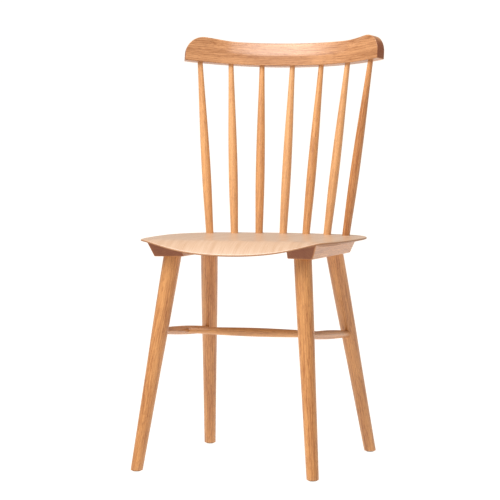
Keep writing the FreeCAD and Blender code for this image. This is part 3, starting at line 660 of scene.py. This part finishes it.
def turned(name, ends, profile, rings, around):
    """Turned piece between two ends; profile gives (share of the length, radius in mm)."""
    axis = (ends[1] - ends[0]).normalized()
    length = (ends[1] - ends[0]).length
    first, second = square_to(axis)
    shares = np.linspace(0, 1, rings)
    radii = through(profile, shares) * MM
    loops = [ring(ends[0], first, second, radii[0] - TIP_ROUND, around)]
    for share, radius in zip(shares, radii):
        reach = min(max(share * length, TIP_ROUND), length - TIP_ROUND)
        loops.append(ring(ends[0] + axis * reach, first, second, radius, around))
    loops.append(ring(ends[1], first, second, radii[-1] - TIP_ROUND, around))
    return stack(name, loops, around // 4, around // 4), axis


def swelled(end_dia, middle_dia):
    """Profile of a stretcher: thick in the middle, with straight ends for the sockets."""
    end, middle = end_dia / 2, middle_dia / 2
    shoulder = end + (middle - end) * 0.66
    return ((0, end), (0.05, end), (0.28, shoulder), (0.5, middle), (0.72, shoulder), (0.95, end), (1, end))


CROSS_STRETCHER = (12.6, 18.0)
CROSS_SOCKET_REACH = 40 * MM
STRETCHER_MESH = {"rings": 60, "around": 48}

cross_ends = axis_of("cross_stretcher")
cross_middle = (cross_ends[1] + cross_ends[0]) / 2
for side, near in zip(SIDES, cross_ends):
    node = f"{side}_side_stretcher"
    piece, axis = turned(f"{node}_turned", axis_of(node), swelled(*SIDE_STRETCHER), **STRETCHER_MESH)
    bore(piece, [(near, cross_middle - near, CROSS_STRETCHER[0] / 2 * MM, CROSS_SOCKET_REACH)])
    dress(piece, node, straight_fibres(near, axis), oak_finish)
piece, axis = turned("cross_stretcher_turned", cross_ends, swelled(*CROSS_STRETCHER), **STRETCHER_MESH)
dress(piece, "cross_stretcher", straight_fibres(cross_ends[0], axis), oak_finish)
print("stretchers meet", round(cross_ends[0].z, 3), "m above the floor")

# %% [markdown]
# ## Spindles
# Seven spindles fan out from the seat to the crest rail. Each is fullest low down, where a back
# leans on it, and tapers to a slim neck at the rail.

# %% Spindles
SPINDLE_PROFILE = ((0.0, 7.85), (0.1, 8.4), (0.2, 9.1), (0.33, 9.5), (0.45, 9.3), (0.6, 8.5),
                   (0.75, 7.25), (0.9, 6.0), (1.0, 5.4))
SPINDLE_FOOT = SPINDLE_PROFILE[0][1]
SPINDLE_NECK = SPINDLE_PROFILE[-1][1]
SPINDLE_ROOT = 22.0 * MM
SPINDLE_TENON = 18.0 * MM
SPINDLE_MESH = {"rings": 90, "around": 32}


def spindle(node):
    """One spindle, with straight stretches in the seat and in the rail."""
    ends = axis_of(node)
    length = (ends[1] - ends[0]).length
    seat = SPINDLE_ROOT / length
    rail = 1 - SPINDLE_TENON / length
    profile = [(0.0, SPINDLE_FOOT)]
    profile += [(seat + share * (rail - seat), radius) for share, radius in SPINDLE_PROFILE]
    profile.append((1.0, SPINDLE_NECK))
    piece, axis = turned(f"{node}_turned", ends, profile, **SPINDLE_MESH)
    return dress(piece, node, straight_fibres(ends[0], axis), oak_finish)


def spindle_sockets(end, before, after, radius):
    """Sockets along all spindles, from before to after their lower (0) or upper (1) ends."""
    sockets = []
    for node in SPINDLES:
        ends = axis_of(node)
        run = ends[1] - ends[0]
        sockets.append((ends[end] - run.normalized() * before, run, radius * MM, before + after))
    return sockets


for node in SPINDLES:
    spindle(node)
print(len(SPINDLES), "spindles")

# %% [markdown]
# ## Crest rail
# The rail is bent to the curve of a back and tilted. Its upper face is scooped out between two
# raised, rounded ends. It is drawn as an outline on the unrolled face, by the distance along the
# bend and the height, and a stack of loops goes from the front face round the arrises to the
# back. A mould then leans the scooped part back and bends the whole.

# %% The unrolled rail
RAIL_RADIUS = 343.0 * MM
RAIL_THICKNESS = 21.8 * MM
RAIL_TILT = math.radians(9.8)
RAIL_HALF = RAIL_RADIUS * math.radians(38.2)
RAIL_MIDDLE = 49.4 * MM
RAIL_EAR = 52.8 * MM
EAR_START = 116.0 * MM
EAR_TOP = 180.0 * MM
END_ROUND = 38.0 * MM
END_SPLIT = math.radians(55)
RAIL_ACROSS = 130
RAIL_ALONG = 16
ROUND_STEPS = 60
TOP_STEPS = 400


def ease(value, low, high):
    """Smooth step of numbers."""
    share = np.clip((value - low) / (high - low), 0, 1)
    return share * share * (3 - 2 * share)


def evenly(points, count):
    """Points at equal steps along a line of points, without the last."""
    points = np.asarray(points, float)
    run = np.concatenate([[0], np.cumsum(np.linalg.norm(np.diff(points, axis=0), axis=1))])
    at = np.linspace(0, run[-1], count + 1)[:-1]
    return np.stack([np.interp(at, run, column) for column in points.T], axis=1)


def rail_outline():
    """The unrolled rail's outline, as (distance along, height), from the low left corner."""
    centre = np.array((RAIL_HALF - END_ROUND, RAIL_EAR - END_ROUND))

    def corner(low, high):
        turn = np.linspace(low, high, ROUND_STEPS)[:, None]
        return centre + END_ROUND * np.hstack([np.cos(turn), np.sin(turn)])

    low = [(-RAIL_HALF, 0), (RAIL_HALF, 0)]
    right = np.vstack([[(RAIL_HALF, 0)], corner(0, END_SPLIT)])
    along = np.linspace(centre[0], -centre[0], TOP_STEPS)
    height = RAIL_MIDDLE + (RAIL_EAR - RAIL_MIDDLE) * ease(np.abs(along), EAR_START, EAR_TOP)
    round_right = corner(END_SPLIT, math.pi / 2)
    mirror = np.array((-1, 1))
    top = np.vstack([round_right, np.stack([along, height], axis=1)[1:-1], (round_right * mirror)[::-1]])
    left = (right * mirror)[::-1]
    parts = ((low, RAIL_ACROSS), (right, RAIL_ALONG), (top, RAIL_ACROSS), (left, RAIL_ALONG))
    return np.vstack([evenly(points, count) for points, count in parts])


print("the unrolled rail is", round(2 * RAIL_HALF, 3), "m long")

# %% [markdown]
# The front arris is nearly sharp, and the back ones are rounded for the hand, except below, where
# the spindles enter. Each row of loops is an inset from the outline and a depth from the front.

# %% Rounding the rail
FRONT_ROUND = 1.0 * MM
BACK_ROUND = 3.0 * MM
BACK_END_ROUND = 3.2 * MM
LOW_ROUND = 1.2 * MM
LOW_BLEND = 14 * MM
LEVEL = 0.1 * MM
FACE_SUPPORT = 1.2 * MM
EDGE_TURNS = np.radians((0, 22.5, 45, 67.5, 90))


def inward(outline):
    """Mitred inward normals of a closed outline that runs anticlockwise."""
    before = outline - np.roll(outline, 1, 0)
    after = np.roll(outline, -1, 0) - outline
    normals = []
    for step in (before, after):
        step = step / np.linalg.norm(step, axis=1)[:, None]
        normals.append(np.stack([-step[:, 1], step[:, 0]], axis=1))
    total = normals[0] + normals[1]
    return total / (1 + (normals[0] * normals[1]).sum(1))[:, None]


def rail_loops(outline):
    """Loops from the front face, round both arrises, to the back face."""
    along, height = np.abs(outline[:, 0]), outline[:, 1]
    ear = BACK_ROUND + (BACK_END_ROUND - BACK_ROUND) * ease(along, EAR_START, EAR_TOP)
    bottom = height < LEVEL
    low = LOW_ROUND + (ear - LOW_ROUND) * ease(along, RAIL_HALF - LOW_BLEND, RAIL_HALF)
    reach = np.where(bottom, low, ear)
    back = inward(outline) * np.column_stack([ear, np.where(bottom, LOW_ROUND, ear)])
    front = inward(outline) * FRONT_ROUND
    support = inward(outline) * FACE_SUPPORT
    clear = RAIL_THICKNESS - FRONT_ROUND - reach
    rows = [(front + support, 0 * reach)]
    for turn in EDGE_TURNS:
        rows.append((front * (1 - math.sin(turn)), FRONT_ROUND * (1 - math.cos(turn)) + 0 * reach))
    rows += [(0 * front, FRONT_ROUND + clear * share) for share in (0.33, 0.67)]
    for turn in EDGE_TURNS:
        rows.append((back * (1 - math.cos(turn)), RAIL_THICKNESS - reach * (1 - math.sin(turn))))
    rows.append((back + support, RAIL_THICKNESS + 0 * reach))
    return [np.column_stack([outline + inset, depth]) for inset, depth in rows]


outline = rail_outline()
print("the rail's stack has", len(rail_loops(outline)), "loops of", len(outline), "points")

# %% [markdown]
# The scoop leans back from a crease that climbs to the top of the rail at both ends. The rail's
# place on the chair comes from the CAD rail's box, and its axis of bending stands in front of it.

# %% Bending the rail
SCOOP_SLOPE = 0.36
# distance from the middle and height of the crease, in mm
CREASE = ((-10, 22.7), (122, 22.7), (135, 23.4), (145, 26.0), (157, 31.5), (169, 38.5),
          (181, 48.0), (250, 100.0))
CREASE_SOFT = 0.4 * MM
END_RAKE = 4.5 * MM
RAIL_LOWER = 1.0 * MM

rail_low, rail_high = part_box("crest_rail")
sine, cosine = math.sin(RAIL_TILT), math.cos(RAIL_TILT)
rail_bottom = rail_low.z + RAIL_THICKNESS / 2 * sine - RAIL_LOWER
rail_back = rail_high.y - RAIL_THICKNESS / 2 * cosine - RAIL_MIDDLE * sine
RAIL_PLACE = (Matrix.Translation((0, rail_back - RAIL_RADIUS * cosine, rail_bottom + RAIL_RADIUS * sine))
              @ Matrix.Rotation(-RAIL_TILT, 4, "X"))


def moved(points, matrix):
    """Points carried by a matrix."""
    matrix = np.array(matrix)
    return points @ matrix[:3, :3].T + matrix[:3, 3]


def scoop_depth(along, height):
    """How far the front face leans back at a place on the unrolled face."""
    crease = through(CREASE, np.abs(along) / MM) * MM
    rise = (height - crease) * SCOOP_SLOPE
    soft = CREASE_SOFT * SCOOP_SLOPE
    return (rise + np.sqrt(rise ** 2 + soft ** 2)) / 2


def bend_rail(points):
    """From (along, height, depth) to the bent and tilted rail."""
    along, height, depth = points.T
    share = 1 - depth / RAIL_THICKNESS
    depth = depth + scoop_depth(along, height) * share
    turn = (along + END_RAKE * share * (along / RAIL_HALF) ** 5) / RAIL_RADIUS
    reach = RAIL_RADIUS - RAIL_THICKNESS / 2 + depth
    return moved(np.stack([reach * np.sin(turn), reach * np.cos(turn), height], axis=1), RAIL_PLACE)


def rail_fibres(points):
    """Fibres of the bent rail: along the bend."""
    x, y, height = moved(points, RAIL_PLACE.inverted()).T
    turn = np.arctan2(x, y)
    places = np.stack([height, np.hypot(x, y) - RAIL_RADIUS, turn * RAIL_RADIUS], axis=1)
    along = np.stack([np.cos(turn), -np.sin(turn), 0 * turn], axis=1)
    return places, along @ np.array(RAIL_PLACE.to_3x3()).T


# %% Crest rail
RAIL_PITH = (5.0, 2.0, 0.0)
CUT_BEYOND = 20 * MM
SOCKET_END_GAP = 0.5 * MM

rail = stack("crest_rail_bent", rail_loops(outline), RAIL_ACROSS, RAIL_ALONG, mould=bend_rail)
bore(rail, spindle_sockets(1, SPINDLE_TENON + CUT_BEYOND, SOCKET_END_GAP, SPINDLE_NECK))
dress(rail, "crest_rail", rail_fibres, rail_finish, pith=RAIL_PITH)
print("crest rail", len(rail.data.polygons), "faces")

# %% [markdown]
# ## Seat
# The plan of the plywood seat is a smooth closed curve through a few points. It is cut into four
# sides at its corners, so that the grid inside it follows the shape.

# %% Plan of the seat
SEAT_WIDE = 212.5 * MM
SEAT_ACROSS = 90
SEAT_ALONG = 70
# inset from the widest place, and setback from the front edge or from the back edge, in mm
PLAN_FROM_FRONT = ((131.5, 4.7), (61.5, 16.0), (22.5, 31.7), (14.5, 52.7), (4.0, 122.7))
PLAN_FROM_BACK = ((0.3, 175.0), (3.5, 125.0), (29.5, 62.0), (53.5, 37.0), (131.5, 10.0))
PLAN_STEPS = 40
# which points of the right-hand half are the corners, counted from the middle of the front
FRONT_CORNER = 3
BACK_CORNER = 8

seat_low, seat_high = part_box("seat_panel")


def closed_spline(points, steps):
    """Smooth closed curve through points, with a number of steps from each to the next."""
    count = len(points)
    gap = np.linalg.norm(np.roll(points, -1, 0) - points, axis=1)
    slope = (np.roll(points, -1, 0) - points) / gap[:, None]
    matrix = np.zeros((count, count))
    wanted = np.zeros_like(points)
    for spot in range(count):
        before, after = gap[spot - 1], gap[spot]
        matrix[spot, spot - 1] += after
        matrix[spot, spot] += 2 * (before + after)
        matrix[spot, (spot + 1) % count] += before
        wanted[spot] = 3 * (after * slope[spot - 1] + before * slope[spot])
    tangent = np.linalg.solve(matrix, wanted)
    spans = []
    for spot in range(count):
        t = np.linspace(0, 1, steps, endpoint=False)[:, None]
        following = (spot + 1) % count
        rise = points[following] - points[spot]
        bend = t * (t - 1) * ((t - 1) * tangent[spot] + t * tangent[following]) * gap[spot]
        spans.append(points[spot] + rise * (t * t * (3 - 2 * t)) + bend)
    return spans


def seat_plan():
    """Outline of the seat from the left front corner, anticlockwise."""
    half = [(0, seat_low.y)]
    half += [(SEAT_WIDE - inset * MM, seat_low.y + back * MM) for inset, back in PLAN_FROM_FRONT]
    half += [(SEAT_WIDE - inset * MM, seat_high.y - back * MM) for inset, back in PLAN_FROM_BACK]
    half.append((0, seat_high.y))
    points = np.array(half + [(-x, y) for x, y in reversed(half[1:-1])])
    spans = closed_spline(points, PLAN_STEPS)
    total = len(points)
    corners = (total - FRONT_CORNER, FRONT_CORNER, BACK_CORNER, total - BACK_CORNER)
    counts = (SEAT_ACROSS, SEAT_ALONG, SEAT_ACROSS, SEAT_ALONG)
    parts = []
    for start, finish, count in zip(corners, corners[1:] + corners[:1], counts):
        stop = finish if finish > start else finish + total
        chosen = [spans[spot % total] for spot in range(start, stop)]
        parts.append(evenly(np.vstack(chosen + [points[[finish]]]), count))
    return np.vstack(parts)


plan = seat_plan()
print("the seat's plan has", len(plan), "points")

# %% [markdown]
# The seat is flat at the back and rolls down at the front, less so towards its front corners. The
# underside is planed away towards the rim, which leaves an edge only a few millimetres thick.

# %% Faces of the seat
SEAT_EDGE = 3.5 * MM
BACK_UNDERCUT = 14.0 * MM
SIDE_UNDERCUT = 38.0 * MM
UNDERCUT_FADE = (60 * MM, 115 * MM)
ROLL_RUN = 57.7 * MM
ROLL_DROP = 26.0 * MM
ROLL_INSET = 19.5 * MM
ROLL_FLATNESS = 6


def seat_top(x, y):
    """Height of the seat's top face."""
    run = np.maximum(seat_low.y + ROLL_RUN - y, 0)
    fade = (1 - np.minimum(np.abs(x) / (SEAT_WIDE - ROLL_INSET), 1) ** ROLL_FLATNESS) ** 2
    return seat_high.z - ROLL_DROP * fade * (run / ROLL_RUN) ** 2


def under_depth(y, inset):
    """Depth of the underside at a distance in from the rim: a long bevel that ends in the flat."""
    width = SIDE_UNDERCUT + (BACK_UNDERCUT - SIDE_UNDERCUT) * ease(y, *UNDERCUT_FADE)
    return SEAT_EDGE + (SEAT_THICKNESS - SEAT_EDGE) * np.clip(inset / width, 0, 1)


def rim_distance(x, y):
    """How far in from the rim a place of the plan lies."""
    spots = np.stack([x, y], axis=1)
    return np.min(np.linalg.norm(spots[:, None] - plan[None], axis=2), axis=1)


def seat_under(x, y):
    """Height of the seat's underside."""
    return seat_top(x, y) - under_depth(y, rim_distance(x, y))


front_middle = seat_top(np.zeros(1), np.array([seat_low.y]))[0]
print("the seat's front hangs", round((seat_high.z - front_middle) * 1000), "mm below its back")

# %% [markdown]
# The loops of the seat run over the rim, from the top face to the bevel of the underside. They are
# drawn flat, as a plan and a depth below the top face, and then the mould gives them the roll.

# %% Seat
TOP_ROUND = 1.4 * MM
UNDER_ROUND = 0.8 * MM
TOP_INSETS = (12, 5, 2)
UNDER_INSETS = (2, 4, 7, 10, 13)
SEAT_PITH = (34.0, 6.0, 0.0)
BELOW_SOCKET = 5 * MM


def seat_loops():
    """Loops from the top face, over the rim, to the bevel of the underside."""
    still = np.ones(len(plan))
    rows = [(inset * MM, 0 * still) for inset in TOP_INSETS]
    for turn in ROUND_TURNS:
        rows.append((TOP_ROUND * (1 - math.sin(turn)), TOP_ROUND * (1 - math.cos(turn)) * still))
    for turn in ROUND_TURNS:
        low = SEAT_EDGE - UNDER_ROUND * (1 - math.sin(turn))
        rows.append((UNDER_ROUND * (1 - math.cos(turn)), low * still))
    rows += [(inset * MM, under_depth(plan[:, 1], inset * MM)) for inset in UNDER_INSETS]
    normal = inward(plan)
    return [np.column_stack([plan + normal * inset, depth]) for inset, depth in rows]


def bevel_under(points):
    """Depth of the inner points of the underside."""
    x, y = points[:, 0], points[:, 1]
    points[:, 2] = under_depth(y, rim_distance(x, y))
    return points


def roll_seat(points):
    """From (x, y, depth below the top face) to the moulded seat."""
    x, y, depth = points.T
    return np.stack([x, y, seat_top(x, y) - depth], axis=1)


def seat_fibres(points):
    """Fibres of the face veneer: from the back to the front, at a depth below the top face."""
    x, y, height = points.T
    return np.stack([x, seat_top(x, y) - height, y], axis=1), np.array((0.0, 1.0, 0.0))


seat = stack("seat_panel_moulded", seat_loops(), SEAT_ACROSS, SEAT_ALONG, mould=roll_seat, lid=bevel_under)
bore(seat, spindle_sockets(0, BELOW_SOCKET, SPINDLE_ROOT + CUT_BEYOND, SPINDLE_FOOT))
depth = seat_fibres(corners_of(seat))[0][:, 1]
set_attribute(seat.data, "depth", "FLOAT", depth * METRES_TO_CM)
dress(seat, "seat_panel", seat_fibres, veneer_finish, pith=SEAT_PITH)
print("seat", len(seat.data.polygons), "faces")

# %% [markdown]
# ## Bearers
# Two blocks join the legs to the seat. Each leans outwards at the side, more so at the back, and
# forwards at the front, so its walls spread as they rise. Its top fits the underside of the seat.

# %% Outline of a bearer
BEARER_SIDE_SLOPE = 0.385
BEARER_REAR_SLOPE = 0.46
BEARER_FRONT_SLOPE = 0.404
BEARER_ARRIS = 1.5 * MM
BEARER_CORNER = 3.0 * MM
BEARER_SIDE_COUNT = 24
BEARER_CORNER_COUNT = 8
WALL_LOOPS = 9
SOLE_SUPPORT = 0.8 * MM
TENON_END_GAP = 0.6 * MM
BELOW_BEARER = 10 * MM
# how far the lower corners lie from the leg's axis, sideways and lengthwise, in mm
FRONT_OUTER = (28.6, 28.3)
FRONT_INNER = (27.9, 12.5)
REAR_OUTER = (27.6, 19.8)
REAR_INNER = (23.7, 19.8)


def rounded_corners(corners, radius, per_side, per_corner):
    """Closed outline with rounded corners, starting in the middle of the first corner."""
    corners = [Vector(corner) for corner in corners]
    sweeps = []
    for spot, corner in enumerate(corners):
        before = (corners[spot - 1] - corner).normalized()
        after = (corners[(spot + 1) % len(corners)] - corner).normalized()
        half = before.angle(after) / 2
        reach = radius / math.tan(half)
        centre = corner + (before + after).normalized() * (radius / math.sin(half))
        start = corner + before * reach - centre
        finish = corner + after * reach - centre
        turns = [start.slerp(finish, step / per_corner) for step in range(per_corner + 1)]
        sweeps.append([centre + turn * radius for turn in turns])
    outline = []
    for sweep, following in zip(sweeps, sweeps[1:] + sweeps[:1]):
        shares = [step / per_side for step in range(1, per_side)]
        outline += sweep + [sweep[-1].lerp(following[0], share) for share in shares]
    return np.roll(np.array(outline), -(per_corner // 2), axis=0)


tried = rounded_corners(((0, 0), (1, 0), (1, 1), (0, 1)), 0.1, 4, 4)
print("a square with rounded corners has", len(tried), "points")

# %% [markdown]
# Every point of the lower outline gets its own lean: outwards along the outer side, forwards along
# the front, and none along the inner side and the back. The wall then rises to the seat.

# %% Walls of a bearer
LEAN_START, LEAN_END = 0.02, 0.98
FIRST_RISE = 20 * MM
FITTING_STEPS = 6


def knee(end, side, height):
    """Where a leg's axis passes a height."""
    sole, axis = feet[end, side]
    return sole + axis * ((height - sole.z) / axis.z)


def bearer_corners(side, bottom):
    """Lower corners of a bearer, drawn on the +X side, from the inner front one, anticlockwise."""
    front, rear = (knee(end, side, bottom) for end in ENDS)
    return [
        (abs(front.x) - FRONT_INNER[0] * MM, front.y - FRONT_INNER[1] * MM),
        (abs(front.x) + FRONT_OUTER[0] * MM, front.y - FRONT_OUTER[1] * MM),
        (abs(rear.x) + REAR_OUTER[0] * MM, rear.y + REAR_OUTER[1] * MM),
        (abs(rear.x) - REAR_INNER[0] * MM, rear.y + REAR_INNER[1] * MM),
    ]


def lean_of(base, corners):
    """How far each point of the outline moves outwards and forwards per metre of rise."""
    (a_x, a_y), (b_x, b_y), (c_x, c_y), (d_x, d_y) = corners
    inner_x = np.interp(base[:, 1], (a_y, d_y), (a_x, d_x))
    outer_x = np.interp(base[:, 1], (b_y, c_y), (b_x, c_x))
    front_y = np.interp(base[:, 0], (a_x, b_x), (a_y, b_y))
    outward = ease((base[:, 0] - inner_x) / (outer_x - inner_x), LEAN_START, LEAN_END)
    forward = ease((d_y - base[:, 1]) / (d_y - front_y), LEAN_START, LEAN_END)
    slope = BEARER_REAR_SLOPE + (BEARER_SIDE_SLOPE - BEARER_REAR_SLOPE) * forward
    return np.stack([slope * outward, -BEARER_FRONT_SLOPE * forward], axis=1)


def bearer_loops(base, lean, bottom):
    """Loops from the sole, round the lower arris and up the walls to the seat."""
    rise = np.full(len(base), FIRST_RISE)
    for _ in range(FITTING_STEPS):
        top = base + lean * rise[:, None]
        rise = seat_under(top[:, 0], top[:, 1]) - SOCKET_GAP - bottom
    normal = inward(base)
    level = np.full(len(base), bottom)
    loops = [np.column_stack([base + normal * (BEARER_ARRIS + SOLE_SUPPORT), level])]
    for turn in EDGE_TURNS[:-1]:
        inset = BEARER_ARRIS * (1 - math.sin(turn))
        lift = BEARER_ARRIS * (1 - math.cos(turn))
        loops.append(np.column_stack([base + normal * inset + lean * lift, level + lift]))
    for share in np.linspace(0, 1, WALL_LOOPS):
        height = BEARER_ARRIS + (rise - BEARER_ARRIS) * share
        loops.append(np.column_stack([base + lean * height[:, None], bottom + height]))
    return loops


# %% Both bearers
def bearer(side):
    """One bearer with the sockets of its two legs."""
    node = f"{side}_bearer"
    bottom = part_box(node)[0].z
    corners = bearer_corners(side, bottom)
    base = rounded_corners(corners, BEARER_CORNER, BEARER_SIDE_COUNT, BEARER_CORNER_COUNT)
    loops = bearer_loops(base, lean_of(base, corners), bottom)
    sign = SIDES[side]

    def fit_top(points):
        points[:, 2] = seat_under(points[:, 0], points[:, 1]) - SOCKET_GAP
        return points

    def mirror(points):
        return points * np.array((sign, 1, 1))

    count = BEARER_SIDE_COUNT + BEARER_CORNER_COUNT
    piece = stack(f"{node}_shaped", loops, count, count, mould=mirror, lid=fit_top)
    sockets = []
    for end in ENDS:
        _, axis = feet[end, side]
        place = knee(end, side, bottom)
        reach = (axis_of(f"{end}_{side}_leg")[1] - place).length + TENON_END_GAP
        sockets.append((place - axis * BELOW_BEARER, axis, TENON_RADIUS, BELOW_BEARER + reach))
    bore(piece, sockets)
    fibres = straight_fibres(Vector((sign * corners[0][0], 0, bottom)), Vector((0, 1, 0)))
    return dress(piece, node, fibres, oak_finish)


for side in SIDES:
    made = bearer(side)
    print(made.name, len(made.data.polygons), "faces")

# %% [markdown]
# ## Batten, glides and screws
# These CAD pieces already have their true shape, so they stay and only get a finish. They carry no
# grain attribute, so the batten's oak reads the object's own coordinates, with the fibres along
# the chair's width. The glides are dark brown nylon, and the screws are bright zinc.


# %% Finishes for the pieces that stay
BATTEN_PITH = (6.0, 41.0)


def grain_along_x(start):
    """Grain, in centimetres, and cut ends of a piece whose fibres run across the chair."""
    x, y, z = (axis * METRES_TO_CM for axis in start.node("TexCoord", output="Object").axes())
    grain = start.node("CombineXYZ", {}, {0: y - BATTEN_PITH[0], 1: z - BATTEN_PITH[1], 2: x})
    facing = start.node("TexCoord", output="Normal").axes()[0]
    return grain, facing.math("ABSOLUTE")


def nylon(name):
    """Dark brown nylon with a soft cloud of wear and fine scuffs."""
    material, start = new_material(name)
    place = start.node("TexCoord", output="Object")
    scuff = place.noise(900.0, 2.0).between(0.55, 0.75)
    shader = start.node("BsdfPrincipled", {}, {
        "Base Color": place.noise(90.0, 3.0).blend(tone(84, 64, 50), tone(64, 48, 38)),
        "Roughness": 0.48 + scuff * 0.2,
        "Normal": scuff.bumps(0.2, 0.1 * MM),
        "IOR": 1.53,
    })
    finish_material(start, shader)
    return material


def zinc(name):
    """Bright zinc plating."""
    material, start = new_material(name)
    place = start.node("TexCoord", output="Object")
    cloud = place.noise(300.0, 3.0)
    shader = start.node("BsdfPrincipled", {}, {
        "Base Color": cloud.blend(tone(205, 207, 208), tone(168, 172, 176)),
        "Metallic": 1.0,
        "Roughness": 0.3 + cloud * 0.2,
        "Normal": place.noise(2500.0).bumps(0.15, 0.05 * MM),
    })
    finish_material(start, shader)
    return material


KEPT_FINISHES = {
    "_batten": oak("oak_batten", read_grain=grain_along_x),
    "_glide": nylon("nylon_glide"),
    "_screws": zinc("zinc_screw"),
}
kept_count = 0
for name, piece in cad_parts.items():
    for ending, finish in KEPT_FINISHES.items():
        if name.endswith(ending):
            piece.data.materials.clear()
            piece.data.materials.append(finish)
            kept_count += 1
print(kept_count, "CAD pieces keep their shape")

# %% [markdown]
# ## Studio
# A white floor without an edge and an even white surround shed light from all sides, and one broad
# softbox at the front left, above the chair, gives the round pieces a lit side and a shaded side.
# The floor glows by itself, as a lit studio floor does, so its shadows stay faint. The surround
# looks white but sheds less light than it shows, or it would wash out the shaded sides. Both are
# slightly warm, and still bright enough in blue to show as white.

# %% Floor
FLOOR_HALF = 60.0
WARM = (1.0, 0.95, 0.9, 1)
FLOOR_GLOW = 1.12
FLOOR_GREY = 0.1

square = ((-1, -1), (1, -1), (1, 1), (-1, 1))
floor = add_object("studio_floor", bpy.data.meshes.new("studio_floor"))
floor.data.from_pydata([(x * FLOOR_HALF, y * FLOOR_HALF, 0) for x, y in square], [], [(0, 1, 2, 3)])
floor_paint, start = new_material("pale_floor")
paint = start.node("BsdfDiffuse", {}, {"Color": (FLOOR_GREY, FLOOR_GREY, FLOOR_GREY, 1)})
glow = start.node("Emission", {}, {"Color": WARM, "Strength": FLOOR_GLOW})
finish_material(start, start.node("AddShader", {}, {0: paint, 1: glow}))
floor.data.materials.append(floor_paint)
floor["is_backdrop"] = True
print("the floor is", 2 * FLOOR_HALF, "m square")

# %% [markdown]
# The world sheds the surround's light. Rays that come straight from the camera see the backdrop
# instead, which is bright enough to show as plain white.

# %% Surround
BACKDROP = 1.12
SURROUND = 0.46

world = bpy.data.worlds.new("studio")
world.use_nodes = True
start = Wire(world.node_tree)
strength = SURROUND + start.node("LightPath", output="Is Camera Ray") * (BACKDROP - SURROUND)
background = world.node_tree.nodes["Background"]
background.inputs["Color"].default_value = WARM
world.node_tree.links.new(strength.socket, background.inputs["Strength"])
bpy.context.scene.world = world
print("the surround sheds", round(SURROUND / BACKDROP, 2), "of the light that it shows")

# %% Softbox
SOFTBOX_SIZE = 2.4
SOFTBOX_POWER = 152.0
SOFTBOX_DISTANCE = 3.2
SOFTBOX_RISE = 60.0
SOFTBOX_TURN = 24.0
AIM = Vector((0, 0, 0.5))

rise, turn = math.radians(SOFTBOX_RISE), math.radians(SOFTBOX_TURN)
direction = Vector((-math.cos(rise) * math.sin(turn), -math.cos(rise) * math.cos(turn), math.sin(rise)))
softbox = add_object("softbox", bpy.data.lights.new("softbox", "AREA"))
softbox.data.energy = SOFTBOX_POWER
softbox.data.size = SOFTBOX_SIZE
softbox.location = AIM + direction * SOFTBOX_DISTANCE
softbox.rotation_euler = direction.to_track_quat("Z", "Y").to_euler()
bpy.context.scene.view_settings.view_transform = "Standard"
print("the softbox hangs", round(softbox.location.z, 2), "m above the floor")

# %% Print the visual box
low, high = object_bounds()
print("visual box", [round(size, 4) for size in high - low], "m")
